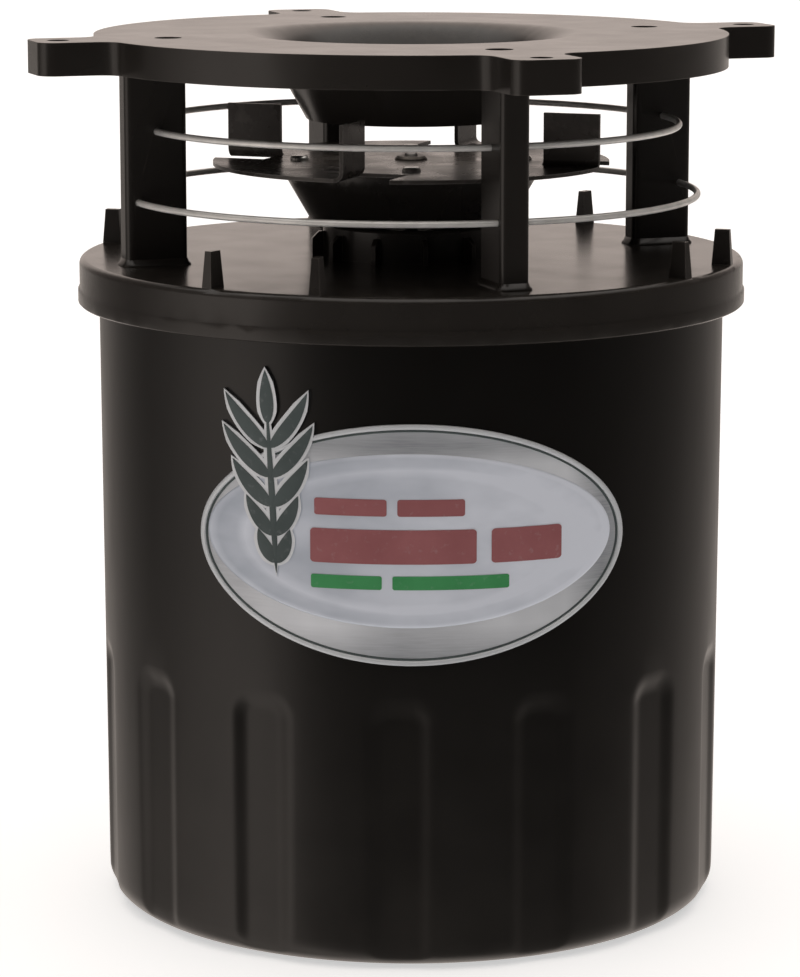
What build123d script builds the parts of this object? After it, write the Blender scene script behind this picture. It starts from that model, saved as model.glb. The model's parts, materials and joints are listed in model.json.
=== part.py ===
from build123d import *
import os
from math import cos, radians, sin, tan

# Spin cast feeder: a fluted canister that twists onto a feeder head. The head hangs under a feed
# hopper by the four ears of its top plate. Feed falls through the funnel onto a motor-driven
# spinner, which throws it out between four posts. All lengths are in millimetres and all angles
# in degrees. The origin is the centre of the canister's underside, +Z is up, and the badge on
# the canister faces -Y.

# ---------------------------------------------------------------- canister
CANISTER_R_BOTTOM = 94.6
CANISTER_R_TOP = 95.6
CANISTER_TOP_Z = 194.5
CANISTER_WALL = 2.6
CANISTER_FLOOR = 3.4
CANISTER_FOOT_FILLET = 8.0
BASE_RECESS_R = 78.0
BASE_RECESS_DEPTH = 0.8

FLUTE_COUNT = 14
FLUTE_FIRST_ANGLE = -92.0
FLUTE_WIDTH = 16.8
FLUTE_DEPTH = 1.9
FLUTE_TOP_Z = 79.0
FLUTE_CORNER_R = 6.0
FLUTE_SIDE_SLOPE = 48.0

BADGE_HALF_WIDTH_ANGLE = 40.0
BADGE_HEIGHT = 70.5
BADGE_CENTRE_Z = 126.9
BADGE_THICKNESS = 0.6
BADGE_RIM_WIDTH = 2.2
BADGE_RIM_RISE = 0.5
BADGE_GLUE_GAP = 0.05

# ---------------------------------------------------------------- twist lock
LOCK_COUNT = 4
LOCK_FIRST_ANGLE = 64.0
LUG_HALF_ANGLE = 6.0
LUG_R = 98.3
LUG_BOTTOM_Z = 188.6
LUG_HEIGHT = 2.4
LEDGE_HALF_ANGLE = 7.0
LEDGE_R = 96.2
LEDGE_HEIGHT = 2.6
LOCK_PLAY = 0.3

# ---------------------------------------------------------------- lid of the head
LID_R = 102.0
RIM_BOTTOM_Z = 185.2
RIM_LIP_HEIGHT = 4.6
RIM_LIP_PROUD = 0.5
DECK_TOP_Z = 199.0
DECK_THICKNESS = 3.4
SKIRT_INNER_R = 98.8
RIM_TOP_FILLET = 2.0

GASKET_INNER_R = 92.9
GASKET_OUTER_R = 95.5
GASKET_TOP_Z = 196.9
GASKET_CLEARANCE = 0.3

PEG_R = 97.0
PEG_SIDE_ANGLE = 35.0
PEG_HEIGHT = 10.6
PEG_BASE = (6.0, 3.6)
PEG_TOP = (4.4, 2.1)

MOTOR_BOSS_R = 27.0
MOTOR_BOSS_TOP_Z = 209.0
MOTOR_BOSS_WALL = 3.0
MOTOR_BOSS_FILLET = 1.2
MOTOR_BOSS_RIBS = 12
MOTOR_BOSS_FIRST_RIB_ANGLE = 8.0
RIB_REACH = 3.6
RIB_HEIGHT = 7.4
RIB_THICKNESS = 1.5

# ---------------------------------------------------------------- posts and top plate
POST_FIRST_ANGLE = 19.0
POST_COUNT = 4
POST_INNER_R = 72.0
POST_OUTER_R = 91.0
POST_THICKNESS = 8.8
POST_CORNER_R = 2.2
POST_TOP_Z = 257.0
POST_SCREW_R = 76.5
POST_FOOT_SCREW_DEPTH = 15.0
POST_TOP_SCREW_DEPTH = 13.0

PLATE_R = 96.2
PLATE_TOP_Z = 266.5
PLATE_EDGE_HEIGHT = 9.8
PLATE_WEB = 4.0
PLATE_SKIRT_WALL = 3.2
PLATE_RIB_THICKNESS = 3.0
EAR_TIP_R = 117.8
EAR_WIDTH = 21.0
EAR_CORNER_R = 5.0
EAR_ROOT_FILLET = 7.0
EAR_HOLE_R = 3.25
EAR_HOLE_PCD_R = 110.0

FUNNEL_THROAT_Z = 240.6
FUNNEL_THROAT_R = 29.0
FUNNEL_WALL = 3.0
FUNNEL_SLOPE = 0.556
FUNNEL_MOUTH_R = 52.0
FUNNEL_KNEE_OUT = 7.6
FUNNEL_KNEE_UP = 13.6

# ---------------------------------------------------------------- guard rings
GUARD_WIRE_R = 1.0
GUARD_HOLE_R = 1.15
UPPER_RING = (81.5, 239.1)
LOWER_RING = (87.3, 218.1)

# ---------------------------------------------------------------- screws
SCREW_SHANK_R = 1.75
SCREW_HEAD_R = 3.4
SCREW_RECESS = 1.0
COUNTERSINK_R = 4.1
SMALL_SHANK_R = 1.25
SMALL_HEAD_R = 2.4
DRIVE_SLOT = 0.8
HOLE_CLEARANCE = 0.05

# ---------------------------------------------------------------- spinner
SPINNER_Z = 226.6
SPINNER_SHEET = 1.2
SPINNER_R = 60.5
VANE_FIRST_ANGLE = -20.5
VANE_COUNT = 4
VANE_INNER_R = 42.5
VANE_HEIGHT = 16.8
VANE_BEND_R = 1.8
HUB_TOP_R = 38.4
HUB_BOTTOM_R = 31.0
HUB_COLLAR_Z = 223.0
HUB_BOTTOM_Z = 210.2
HUB_WALL = 2.4
HUB_CORE_R = 6.5
HUB_CORE_BOTTOM_Z = 213.0
SET_SCREW_Z = 218.0
SET_SCREW_R = 1.5
SET_SCREW_SOCKET_R = 0.75
SET_SCREW_SOCKET_DEPTH = 1.7
SET_SCREW_SUNK = 0.3
DRIVER_WAY_R = 2.6
RIVET_R = 34.0
RIVET_COUNT = 4
RIVET_FIRST_ANGLE = -90.0
RIVET_SHANK_R = 1.55
RIVET_HEAD_R = 2.9
RIVET_HEAD_HEIGHT = 1.3
RIVET_HEAD_FILLET = 1.1
RIVET_TAIL_R = 1.9
RIVET_TAIL_HEIGHT = 0.9
RIVET_TAIL_SHIFT = 0.4

# ---------------------------------------------------------------- motor
SHAFT_R = 2.0
SHAFT_TOP_Z = 229.9
CLIP_R = 5.0
CLIP_HEIGHT = 1.2
SHAFT_BOTTOM_Z = 156.5
SHAFT_PLAY = 0.04
MOTOR_R = 18.5
MOTOR_TOP_Z = 206.0
MOTOR_CAN_BOTTOM_Z = 160.0
MOTOR_CAP_BOTTOM_Z = 155.0
MOTOR_CAN_WALL = 1.3
MAGNET_INNER_R = 14.2
ROTOR_R = 13.2
ROTOR_Z = (168.0, 194.0)
BUSHING_R = 4.5
BUSHING_HEIGHT = 4.5
END_CAP_THICKNESS = 1.2
COMMUTATOR_R = 4.2
COMMUTATOR_HEIGHT = 7.0
POLE_GAPS = 3
TAG_HALF_WIDTH = 1.5
TAG_HALF_THICKNESS = 0.5
TAG_LENGTH = 5.0
MOTOR_SCREW_R = 11.5
SEAL_R = 7.0

# ---------------------------------------------------------------- control unit
BOX_HALF_WIDTH = 50.0
BOX_Z = (128.0, 190.0)
BOX_BACK_Y = -26.0
BOX_FRONT_Y = -62.0
BOX_WALL = 2.0
BOX_CORNER_R = 3.0
COVER_THICKNESS = 2.0
BOARD_Y = -50.0
BOARD_THICKNESS = 1.6
WINDOW_SIZE = (42.0, 19.0)
WINDOW_Z = 174.0
BUTTON_R = 4.0
BUTTON_XS = (-33.0, -11.0, 11.0, 33.0)
BUTTON_NAMES = ("clock", "timer", "run_time", "test")
BUTTON_Z = 151.0
SWITCH_Z = 137.0
SWITCH_TRAVEL = 4.0
PART_PLAY = 0.25
BOX_HANGER_X = 38.0
COVER_PILLAR_R = 3.6
COVER_PILLAR_INSET = 5.0

# ---------------------------------------------------------------- battery and cradle
BATTERY_WIDTH = 67.0
BATTERY_HEIGHT = 97.0
BATTERY_BOTTOM_Z = 8.6
BATTERY_CORNER_R = 4.0
SPRING_R = 4.2
SPRING_WIRE_R = 0.6
SPRING_TURNS = 3
SPRING_HEIGHT = 8.0
NEGATIVE_SPRING = (21.0, 21.0)
CRADLE_WALL = 2.4
CRADLE_INNER = 68.4
CRADLE_BOTTOM_Z = 6.0
CRADLE_LIP_HEIGHT = 14.0
CRADLE_STRAP_WIDTH = 26.0
LID_BOSS_BOTTOM_Z = 190.0
LID_BOSS_R = 4.5
CRADLE_FLANGE = 15.0

# ---------------------------------------------------------------- leads
LEAD_R = 1.1
BATTERY_GROMMET = (14.0, -40.0)
MOTOR_GROMMET_Z = 141.0
MOTOR_LEAD_X = 8.0
GROMMET_R = 3.2


# ================================================================ helpers
def turned(shape, angle):
    """The shape turned about the feeder's axis."""
    return Rot(0, 0, angle) * shape


def repeated(shape, count, first_angle=0.0):
    """Copies of the shape, evenly spaced about the feeder's axis."""
    return [turned(shape, first_angle + number * 360.0 / count) for number in range(count)]


def post_angles():
    return [POST_FIRST_ANGLE + number * 360.0 / POST_COUNT for number in range(POST_COUNT)]


def disc(radius, low, high, x=0.0, y=0.0):
    """An upright cylinder between two heights."""
    return Pos(x, y, low) * Cylinder(radius, high - low, align=(Align.CENTER, Align.CENTER, Align.MIN))


def tube(outer, inner, low, high, x=0.0, y=0.0):
    return disc(outer, low, high, x, y) - disc(inner, low - 1, high + 1, x, y)


def block(x_range, y_range, z_range):
    """A box given by its low and high side on each axis."""
    size = [pair[1] - pair[0] for pair in (x_range, y_range, z_range)]
    return Pos(x_range[0], y_range[0], z_range[0]) * Box(*size, align=(Align.MIN,) * 3)


def revolved(points):
    """A solid of revolution from an outline of (radius, height) points."""
    outline = make_face(Polyline(*[(radius, 0, height) for radius, height in points], close=True))
    return revolve(outline, Axis.Z)


def ring_sector(outer, inner, low, high, half_angle):
    """Part of a ring about the feeder's axis, centred on +X."""
    reach = 2 * outer
    width = reach * tan(radians(half_angle))
    wedge = Polyline((0, 0), (reach, -width), (reach, width), close=True)
    wedge_solid = Pos(0, 0, low) * extrude(make_face(wedge), amount=high - low)
    return tube(outer, inner, low, high) & wedge_solid


def wire_ring(centre_radius, height, wire_radius):
    """A ring of round wire."""
    return Pos(0, 0, height) * Torus(centre_radius, wire_radius)


def at_height(sketch, height, thickness):
    """A flat outline raised to a height and given a thickness."""
    return Pos(0, 0, height) * extrude(sketch, amount=thickness)


def canister_radius(height):
    """Outer radius of the canister's drafted wall."""
    return CANISTER_R_BOTTOM + (CANISTER_R_TOP - CANISTER_R_BOTTOM) * height / CANISTER_TOP_Z


def pan_screw(shank_radius, head_radius, length, head_height):
    """A pan-head screw along +Z with its head above z = 0 and a cross recess in the head."""
    screw = disc(shank_radius, -length, 0) + disc(head_radius, 0, head_height)
    slot = Pos(0, 0, head_height) * Box(head_radius * 1.3, DRIVE_SLOT, head_height)
    return screw - slot - turned(slot, 90)


def flat_screw(length):
    """A countersunk screw along +Z with the top of its head at z = 0 and a cross recess."""
    cone_height = SCREW_HEAD_R - SCREW_SHANK_R
    head = Pos(0, 0, -cone_height) * Cone(
        SCREW_SHANK_R, SCREW_HEAD_R, cone_height, align=(Align.CENTER, Align.CENTER, Align.MIN)
    )
    slot = Box(SCREW_HEAD_R * 1.3, DRIVE_SLOT, SCREW_HEAD_R * 0.6)
    return disc(SCREW_SHANK_R, -length, -cone_height) + head - slot - turned(slot, 90)


def lead(points, corner_radii):
    """An insulated wire: straight runs joined by tangent arcs."""
    path = FilletPolyline(*points, radius=corner_radii)
    start = path @ 0
    return sweep(Plane(start, z_dir=path % 0) * Circle(LEAD_R), path=path)


# ================================================================ canister
def flute():
    """One grip flute's cutter on +X: an upright pocket with sloped sides and a round-cornered top."""
    floor_r = CANISTER_R_BOTTOM - FLUTE_DEPTH
    slope_reach = FLUTE_DEPTH * tan(radians(FLUTE_SIDE_SLOPE))
    half_height = FLUTE_TOP_Z - slope_reach
    floor_width = FLUTE_WIDTH - 2 * slope_reach
    outline = RectangleRounded(floor_width, 2 * half_height, FLUTE_CORNER_R - slope_reach)
    return extrude(Plane.YZ.offset(floor_r) * outline, amount=4 * FLUTE_DEPTH, taper=-FLUTE_SIDE_SLOPE)


def canister_shell():
    outer = revolved([(0, 0), (CANISTER_R_BOTTOM, 0), (CANISTER_R_TOP, CANISTER_TOP_Z), (0, CANISTER_TOP_Z)])
    foot = outer.edges().filter_by(GeomType.CIRCLE).sort_by(Axis.Z)[0]
    outer = fillet(foot, CANISTER_FOOT_FILLET)
    inner = revolved(
        [
            (0, CANISTER_FLOOR),
            (CANISTER_R_BOTTOM - CANISTER_WALL - FLUTE_DEPTH, CANISTER_FLOOR),
            (CANISTER_R_TOP - CANISTER_WALL - FLUTE_DEPTH / 2, CANISTER_TOP_Z + 1),
            (0, CANISTER_TOP_Z + 1),
        ]
    )
    floor_edge = inner.edges().filter_by(GeomType.CIRCLE).sort_by(Axis.Z)[0]
    inner = fillet(floor_edge, CANISTER_FOOT_FILLET - CANISTER_WALL)
    return outer - inner - disc(BASE_RECESS_R, -1, BASE_RECESS_DEPTH)


def canister():
    lug = ring_sector(
        LUG_R, canister_radius(LUG_BOTTOM_Z) - 1, LUG_BOTTOM_Z, LUG_BOTTOM_Z + LUG_HEIGHT, LUG_HALF_ANGLE
    )
    body = canister_shell()
    for cutter in repeated(flute(), FLUTE_COUNT, FLUTE_FIRST_ANGLE):
        body -= cutter
    for piece in repeated(lug, LOCK_COUNT, LOCK_FIRST_ANGLE):
        body += piece
    return body


def badge_layer(shrink, inner_offset, outer_offset):
    """A curved oval layer lying on the drafted front wall of the canister."""
    low = BADGE_CENTRE_Z - BADGE_HEIGHT
    high = BADGE_CENTRE_Z + BADGE_HEIGHT
    shell = revolved(
        [
            (canister_radius(low) + inner_offset, low),
            (canister_radius(low) + outer_offset, low),
            (canister_radius(high) + outer_offset, high),
            (canister_radius(high) + inner_offset, high),
        ]
    )
    half_width = CANISTER_R_TOP * sin(radians(BADGE_HALF_WIDTH_ANGLE)) - shrink
    oval = Plane.XZ * Pos(0, BADGE_CENTRE_Z) * Ellipse(half_width, BADGE_HEIGHT / 2 - shrink)
    return shell & extrude(oval, amount=2 * CANISTER_R_TOP)


def badge():
    """The oval badge: a thin plate with a raised rim."""
    full = badge_layer(0, BADGE_GLUE_GAP, BADGE_GLUE_GAP + BADGE_THICKNESS + BADGE_RIM_RISE)
    sunk = badge_layer(
        BADGE_RIM_WIDTH,
        BADGE_GLUE_GAP + BADGE_THICKNESS,
        BADGE_GLUE_GAP + BADGE_THICKNESS + 2 * BADGE_RIM_RISE,
    )
    return full - sunk


def gasket():
    return tube(GASKET_OUTER_R, GASKET_INNER_R, CANISTER_TOP_Z, GASKET_TOP_Z)


# ================================================================ head lid
def peg():
    """A tapered guide peg on +X, standing on the deck."""
    base = Pos(PEG_R, 0, DECK_TOP_Z - 1) * Rectangle(*PEG_BASE)
    top = Pos(PEG_R, 0, DECK_TOP_Z + PEG_HEIGHT) * Rectangle(*PEG_TOP)
    return loft([base, top])


def lid_body():
    underside = DECK_TOP_Z - DECK_THICKNESS
    body_r = LID_R - RIM_LIP_PROUD
    lip_top = RIM_BOTTOM_Z + RIM_LIP_HEIGHT
    outline = revolved(
        [
            (0, underside),
            (SKIRT_INNER_R, underside),
            (SKIRT_INNER_R, RIM_BOTTOM_Z),
            (LID_R - RIM_LIP_PROUD, RIM_BOTTOM_Z),
            (LID_R, RIM_BOTTOM_Z + RIM_LIP_PROUD),
            (LID_R, lip_top - RIM_LIP_PROUD),
            (body_r, lip_top),
            (body_r, DECK_TOP_Z),
            (0, DECK_TOP_Z),
        ]
    )
    top_edge = outline.edges().filter_by(GeomType.CIRCLE).sort_by(Axis.Z)[-1]
    return fillet(top_edge, RIM_TOP_FILLET)


def motor_boss():
    """The raised cup over the motor, with ribs round it."""
    cup = disc(MOTOR_BOSS_R, DECK_TOP_Z - 1, MOTOR_BOSS_TOP_Z)
    edge = cup.edges().filter_by(GeomType.CIRCLE).sort_by(Axis.Z)[-1]
    cup = fillet(edge, MOTOR_BOSS_FILLET)
    rib = block(
        (MOTOR_BOSS_R - 1, MOTOR_BOSS_R + RIB_REACH),
        (-RIB_THICKNESS / 2, RIB_THICKNESS / 2),
        (DECK_TOP_Z - 1, DECK_TOP_Z + RIB_HEIGHT),
    )
    outer_edge = rib.edges().filter_by(Axis.Y).sort_by(Axis.Z)[-2:].sort_by(Axis.X)[-1]
    rib = chamfer(outer_edge, RIB_REACH * 0.6)
    for piece in repeated(rib, MOTOR_BOSS_RIBS, MOTOR_BOSS_FIRST_RIB_ANGLE):
        cup += piece
    return cup


def under_bosses():
    """Places of the screw bosses under the deck: two for the control unit, four for the cradle."""
    strap_x = CRADLE_INNER / 2 + CRADLE_WALL + CRADLE_FLANGE / 2
    side = CRADLE_STRAP_WIDTH / 4
    cradle_places = [(x, y) for x in (-strap_x, strap_x) for y in (-side, side)]
    box_y = (BOX_BACK_Y + BOX_FRONT_Y) / 2
    return cradle_places, [(-BOX_HANGER_X, box_y), (BOX_HANGER_X, box_y)]


def head_lid():
    underside = DECK_TOP_Z - DECK_THICKNESS
    body = lid_body() + motor_boss()
    for piece in repeated(peg(), POST_COUNT, POST_FIRST_ANGLE - PEG_SIDE_ANGLE):
        body += piece
    for piece in repeated(peg(), POST_COUNT, POST_FIRST_ANGLE + PEG_SIDE_ANGLE):
        body += piece
    body -= tube(
        GASKET_OUTER_R + GASKET_CLEARANCE, GASKET_INNER_R - GASKET_CLEARANCE, underside - 1, GASKET_TOP_Z
    )
    ledge_top = LUG_BOTTOM_Z - LOCK_PLAY
    ledge = ring_sector(SKIRT_INNER_R + 1, LEDGE_R, ledge_top - LEDGE_HEIGHT, ledge_top, LEDGE_HALF_ANGLE)
    for piece in repeated(ledge, LOCK_COUNT, LOCK_FIRST_ANGLE):
        body += piece
    motor_well_r = MOTOR_BOSS_R - MOTOR_BOSS_WALL
    body -= disc(motor_well_r, underside - 1, MOTOR_TOP_Z)
    body -= disc(SEAL_R, MOTOR_TOP_Z - 1, MOTOR_BOSS_TOP_Z + 1)
    for x in (-MOTOR_SCREW_R, MOTOR_SCREW_R):
        body -= disc(SMALL_SHANK_R + HOLE_CLEARANCE, MOTOR_TOP_Z - 1, MOTOR_BOSS_TOP_Z + 1, x)
    for places in under_bosses():
        for x, y in places:
            body += disc(LID_BOSS_R, LID_BOSS_BOTTOM_Z, underside + 0.5, x, y)
            body -= disc(SMALL_SHANK_R + HOLE_CLEARANCE, LID_BOSS_BOTTOM_Z - 1, underside + 1.6, x, y)
    for angle in post_angles():
        screw_way = disc(SCREW_SHANK_R + HOLE_CLEARANCE, underside - 1, DECK_TOP_Z + 1, POST_SCREW_R)
        body -= turned(screw_way, angle)
    return body


# ================================================================ posts
def post():
    """One upright blade on +X with a screw hole at each end and holes for both guard rings."""
    middle_r = (POST_INNER_R + POST_OUTER_R) / 2
    outline = RectangleRounded(POST_OUTER_R - POST_INNER_R, POST_THICKNESS, POST_CORNER_R)
    blade = at_height(Pos(middle_r, 0) * outline, DECK_TOP_Z, POST_TOP_Z - DECK_TOP_Z)
    blade -= wire_ring(*UPPER_RING, GUARD_HOLE_R)
    blade -= wire_ring(*LOWER_RING, GUARD_HOLE_R)
    hole_r = SCREW_SHANK_R + HOLE_CLEARANCE
    blade -= disc(hole_r, DECK_TOP_Z - 1, DECK_TOP_Z + POST_FOOT_SCREW_DEPTH, POST_SCREW_R)
    blade -= disc(hole_r, POST_TOP_Z - POST_TOP_SCREW_DEPTH, POST_TOP_Z + 1, POST_SCREW_R)
    return blade


# ================================================================ top plate
def plate_outline():
    """The disc with its four ears, with a round fillet where each ear leaves the disc."""
    ear = Pos((PLATE_R + EAR_TIP_R) / 2 - 5, 0) * Rectangle(EAR_TIP_R - PLATE_R + 10, EAR_WIDTH)
    outline = Circle(PLATE_R)
    for angle in post_angles():
        outline += Rot(0, 0, angle) * ear
    corners = outline.vertices()
    tips = [corner for corner in corners if Vector(corner.X, corner.Y).length > PLATE_R + 5]
    outline = fillet(tips, EAR_CORNER_R)
    roots = [
        corner
        for corner in outline.vertices()
        if abs(Vector(corner.X, corner.Y).length - PLATE_R) < 0.01 and is_ear_root(corner)
    ]
    return fillet(roots, EAR_ROOT_FILLET)


def is_ear_root(corner):
    """Whether a vertex of the outline is where an ear's side meets the disc."""
    half = EAR_WIDTH / 2
    for angle in post_angles():
        across = -corner.X * sin(radians(angle)) + corner.Y * cos(radians(angle))
        along = corner.X * cos(radians(angle)) + corner.Y * sin(radians(angle))
        if along > 0 and abs(abs(across) - half) < 0.01:
            return True
    return False


def funnel():
    """The dished mouth and throat, as an outline turned about the axis."""
    web_bottom = PLATE_TOP_Z - PLATE_WEB
    throat_outer = FUNNEL_THROAT_R + FUNNEL_WALL
    outer_top_r = throat_outer + FUNNEL_SLOPE * (web_bottom - FUNNEL_THROAT_Z)
    inner_knee = (FUNNEL_THROAT_R + FUNNEL_KNEE_OUT, FUNNEL_THROAT_Z + FUNNEL_KNEE_UP)
    with BuildPart() as made:
        with BuildSketch(Plane.XZ):
            with BuildLine():
                Polyline(
                    inner_knee,
                    (FUNNEL_THROAT_R, FUNNEL_THROAT_Z),
                    (throat_outer, FUNNEL_THROAT_Z),
                    (outer_top_r, web_bottom),
                    (FUNNEL_MOUTH_R + 4, web_bottom),
                    (FUNNEL_MOUTH_R + 4, PLATE_TOP_Z),
                    (FUNNEL_MOUTH_R, PLATE_TOP_Z),
                )
                TangentArc((FUNNEL_MOUTH_R, PLATE_TOP_Z), inner_knee, tangent=(-1, 0))
            make_face()
        revolve(axis=Axis.Z)
    return made.part


def plate_rib():
    """A stiffening rib under the web, on +X."""
    return block(
        (FUNNEL_MOUTH_R - 4, PLATE_R - PLATE_SKIRT_WALL + 1),
        (-PLATE_RIB_THICKNESS / 2, PLATE_RIB_THICKNESS / 2),
        (PLATE_TOP_Z - PLATE_EDGE_HEIGHT + 2, PLATE_TOP_Z - PLATE_WEB + 1),
    )


def post_pad():
    """The solid pad under the web that a post stands against, on +X."""
    half_width = POST_THICKNESS / 2 + 2
    return block((POST_INNER_R - 2, PLATE_R - 1), (-half_width, half_width), (POST_TOP_Z, PLATE_TOP_Z - 1))


def countersink():
    """A screw hole from the top face, with a conical seat for a sunk head, on +X."""
    seat_z = PLATE_TOP_Z - SCREW_RECESS
    hole_r = SCREW_SHANK_R + HOLE_CLEARANCE
    cone_height = COUNTERSINK_R - SCREW_SHANK_R
    cone = Cone(hole_r, COUNTERSINK_R, cone_height, align=(Align.CENTER, Align.CENTER, Align.MIN))
    seat = Pos(POST_SCREW_R, 0, seat_z - cone_height) * cone
    shaft = disc(hole_r, POST_TOP_Z - 1, PLATE_TOP_Z + 1, POST_SCREW_R)
    return seat + shaft + disc(COUNTERSINK_R, seat_z, PLATE_TOP_Z + 1, POST_SCREW_R)


def top_plate():
    edge_bottom = PLATE_TOP_Z - PLATE_EDGE_HEIGHT
    plate = at_height(plate_outline(), edge_bottom, PLATE_EDGE_HEIGHT)
    plate -= tube(PLATE_R - PLATE_SKIRT_WALL, FUNNEL_MOUTH_R, edge_bottom - 1, PLATE_TOP_Z - PLATE_WEB)
    plate -= disc(FUNNEL_MOUTH_R + 3.9, edge_bottom - 1, PLATE_TOP_Z + 1)
    plate += funnel()
    for angle in post_angles():
        plate += turned(post_pad(), angle)
        plate += turned(plate_rib(), angle + 45)
        plate += turned(plate_rib(), angle + 20)
        plate += turned(plate_rib(), angle - 20)
        plate -= turned(countersink(), angle)
        plate -= turned(disc(EAR_HOLE_R, edge_bottom - 1, PLATE_TOP_Z + 1, EAR_HOLE_PCD_R), angle)
    return plate


# ================================================================ spinner
def vane():
    """One vane on +X: sheet bent up along a radial line, standing beside its own slot."""
    top_face = SPINNER_Z + SPINNER_SHEET
    inside = VANE_BEND_R
    outside = VANE_BEND_R + SPINNER_SHEET
    with BuildPart() as made:
        with BuildSketch(Plane.YZ.offset(VANE_INNER_R)):
            with BuildLine():
                Polyline(
                    (-inside - 3, SPINNER_Z),
                    (-inside, SPINNER_Z),
                )
                CenterArc((-inside, SPINNER_Z + outside), outside, -90, 90)
                Polyline(
                    (outside - inside, SPINNER_Z + outside),
                    (outside - inside, SPINNER_Z + VANE_HEIGHT),
                    (0, SPINNER_Z + VANE_HEIGHT),
                    (0, SPINNER_Z + outside),
                )
                CenterArc((-inside, SPINNER_Z + outside), inside, 0, -90)
                Polyline(
                    (-inside, top_face),
                    (-inside - 3, top_face),
                    (-inside - 3, SPINNER_Z),
                )
            make_face()
        extrude(amount=SPINNER_R - VANE_INNER_R - 0.4)
    return made.part


def vane_slot():
    """The opening that the vane's metal is bent out of, on +X."""
    along = (VANE_INNER_R, SPINNER_R + 1)
    across = (-VANE_BEND_R, VANE_HEIGHT - VANE_BEND_R)
    return block(along, across, (SPINNER_Z - 1, SPINNER_Z + 5))


def spinner_plate():
    plate = disc(SPINNER_R, SPINNER_Z, SPINNER_Z + SPINNER_SHEET)
    plate -= disc(SHAFT_R + SHAFT_PLAY, SPINNER_Z - 1, SPINNER_Z + 5)
    for opening in repeated(vane_slot(), VANE_COUNT, VANE_FIRST_ANGLE):
        plate -= opening
    for raised in repeated(vane(), VANE_COUNT, VANE_FIRST_ANGLE):
        plate += raised
    rivet_hole = disc(RIVET_SHANK_R + HOLE_CLEARANCE, SPINNER_Z - 1, SPINNER_Z + 5, RIVET_R)
    for hole in repeated(rivet_hole, RIVET_COUNT, RIVET_FIRST_ANGLE):
        plate -= hole
    return plate


def spinner_hub():
    """The cone-skirted hub under the spinner plate, with a core that the shaft runs up through."""
    under_top = SPINNER_Z - HUB_WALL
    hub = revolved(
        [
            (HUB_CORE_R, HUB_CORE_BOTTOM_Z),
            (HUB_CORE_R, under_top),
            (HUB_TOP_R - HUB_WALL, under_top),
            (HUB_BOTTOM_R - HUB_WALL, HUB_BOTTOM_Z),
            (HUB_BOTTOM_R, HUB_BOTTOM_Z),
            (HUB_TOP_R, HUB_COLLAR_Z),
            (HUB_TOP_R, SPINNER_Z),
            (SHAFT_R + SHAFT_PLAY, SPINNER_Z),
            (SHAFT_R + SHAFT_PLAY, HUB_CORE_BOTTOM_Z),
        ]
    )
    rivet_hole = disc(RIVET_SHANK_R + HOLE_CLEARANCE, under_top - 1, SPINNER_Z + 1, RIVET_R)
    for hole in repeated(rivet_hole, RIVET_COUNT, RIVET_FIRST_ANGLE):
        hub -= hole
    screw_way = disc(SET_SCREW_R + HOLE_CLEARANCE, 0, HUB_CORE_R + 1)
    driver_way = disc(DRIVER_WAY_R, HUB_CORE_R + 1, HUB_TOP_R + 1)
    return hub - Pos(0, 0, SET_SCREW_Z) * Rot(0, 90, 0) * (screw_way + driver_way)


def spinner_rivets():
    """Four rivets through the spinner plate and the hub's flange."""
    top_face = SPINNER_Z + SPINNER_SHEET
    under_top = SPINNER_Z - HUB_WALL
    head = disc(RIVET_HEAD_R, top_face, top_face + RIVET_HEAD_HEIGHT, RIVET_R)
    head = fillet(head.edges().filter_by(GeomType.CIRCLE).sort_by(Axis.Z)[-1], RIVET_HEAD_FILLET)
    rivet = head + disc(RIVET_SHANK_R, under_top, top_face, RIVET_R)
    rivet += disc(RIVET_TAIL_R, under_top - RIVET_TAIL_HEIGHT, under_top, RIVET_R - RIVET_TAIL_SHIFT)
    return Compound(repeated(rivet, RIVET_COUNT, RIVET_FIRST_ANGLE))


def hub_set_screw():
    """The grub screw that grips the shaft, with its socket outwards."""
    outer_end = HUB_CORE_R - SET_SCREW_SUNK
    screw = disc(SET_SCREW_R, SHAFT_R, outer_end)
    screw -= disc(SET_SCREW_SOCKET_R, outer_end - SET_SCREW_SOCKET_DEPTH, HUB_CORE_R)
    return Pos(0, 0, SET_SCREW_Z) * Rot(0, 90, 0) * screw


def shaft_clip():
    """The low domed push-on clip that keeps the spinner plate on the shaft's end."""
    top_face = SPINNER_Z + SPINNER_SHEET
    clip = disc(CLIP_R, top_face, top_face + CLIP_HEIGHT)
    clip = chamfer(clip.edges().filter_by(GeomType.CIRCLE).sort_by(Axis.Z)[-1], CLIP_HEIGHT * 0.7)
    return clip - disc(SHAFT_R + SHAFT_PLAY, top_face - 1, top_face + 5)


# ================================================================ motor
def motor_shaft():
    shaft = disc(SHAFT_R, SHAFT_BOTTOM_Z, SHAFT_TOP_Z)
    return chamfer(shaft.edges().filter_by(GeomType.CIRCLE), 0.4)


def motor_rotor():
    """The wound armature with its three pole gaps and its commutator."""
    core = tube(ROTOR_R, SHAFT_R, *ROTOR_Z)
    gap = block((ROTOR_R - 5, ROTOR_R + 2), (-1.1, 1.1), (ROTOR_Z[0] - 1, ROTOR_Z[1] + 1))
    for cutter in repeated(gap, POLE_GAPS, 30):
        core -= cutter
    commutator = tube(COMMUTATOR_R, SHAFT_R, ROTOR_Z[0] - COMMUTATOR_HEIGHT, ROTOR_Z[0])
    return core + commutator


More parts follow.
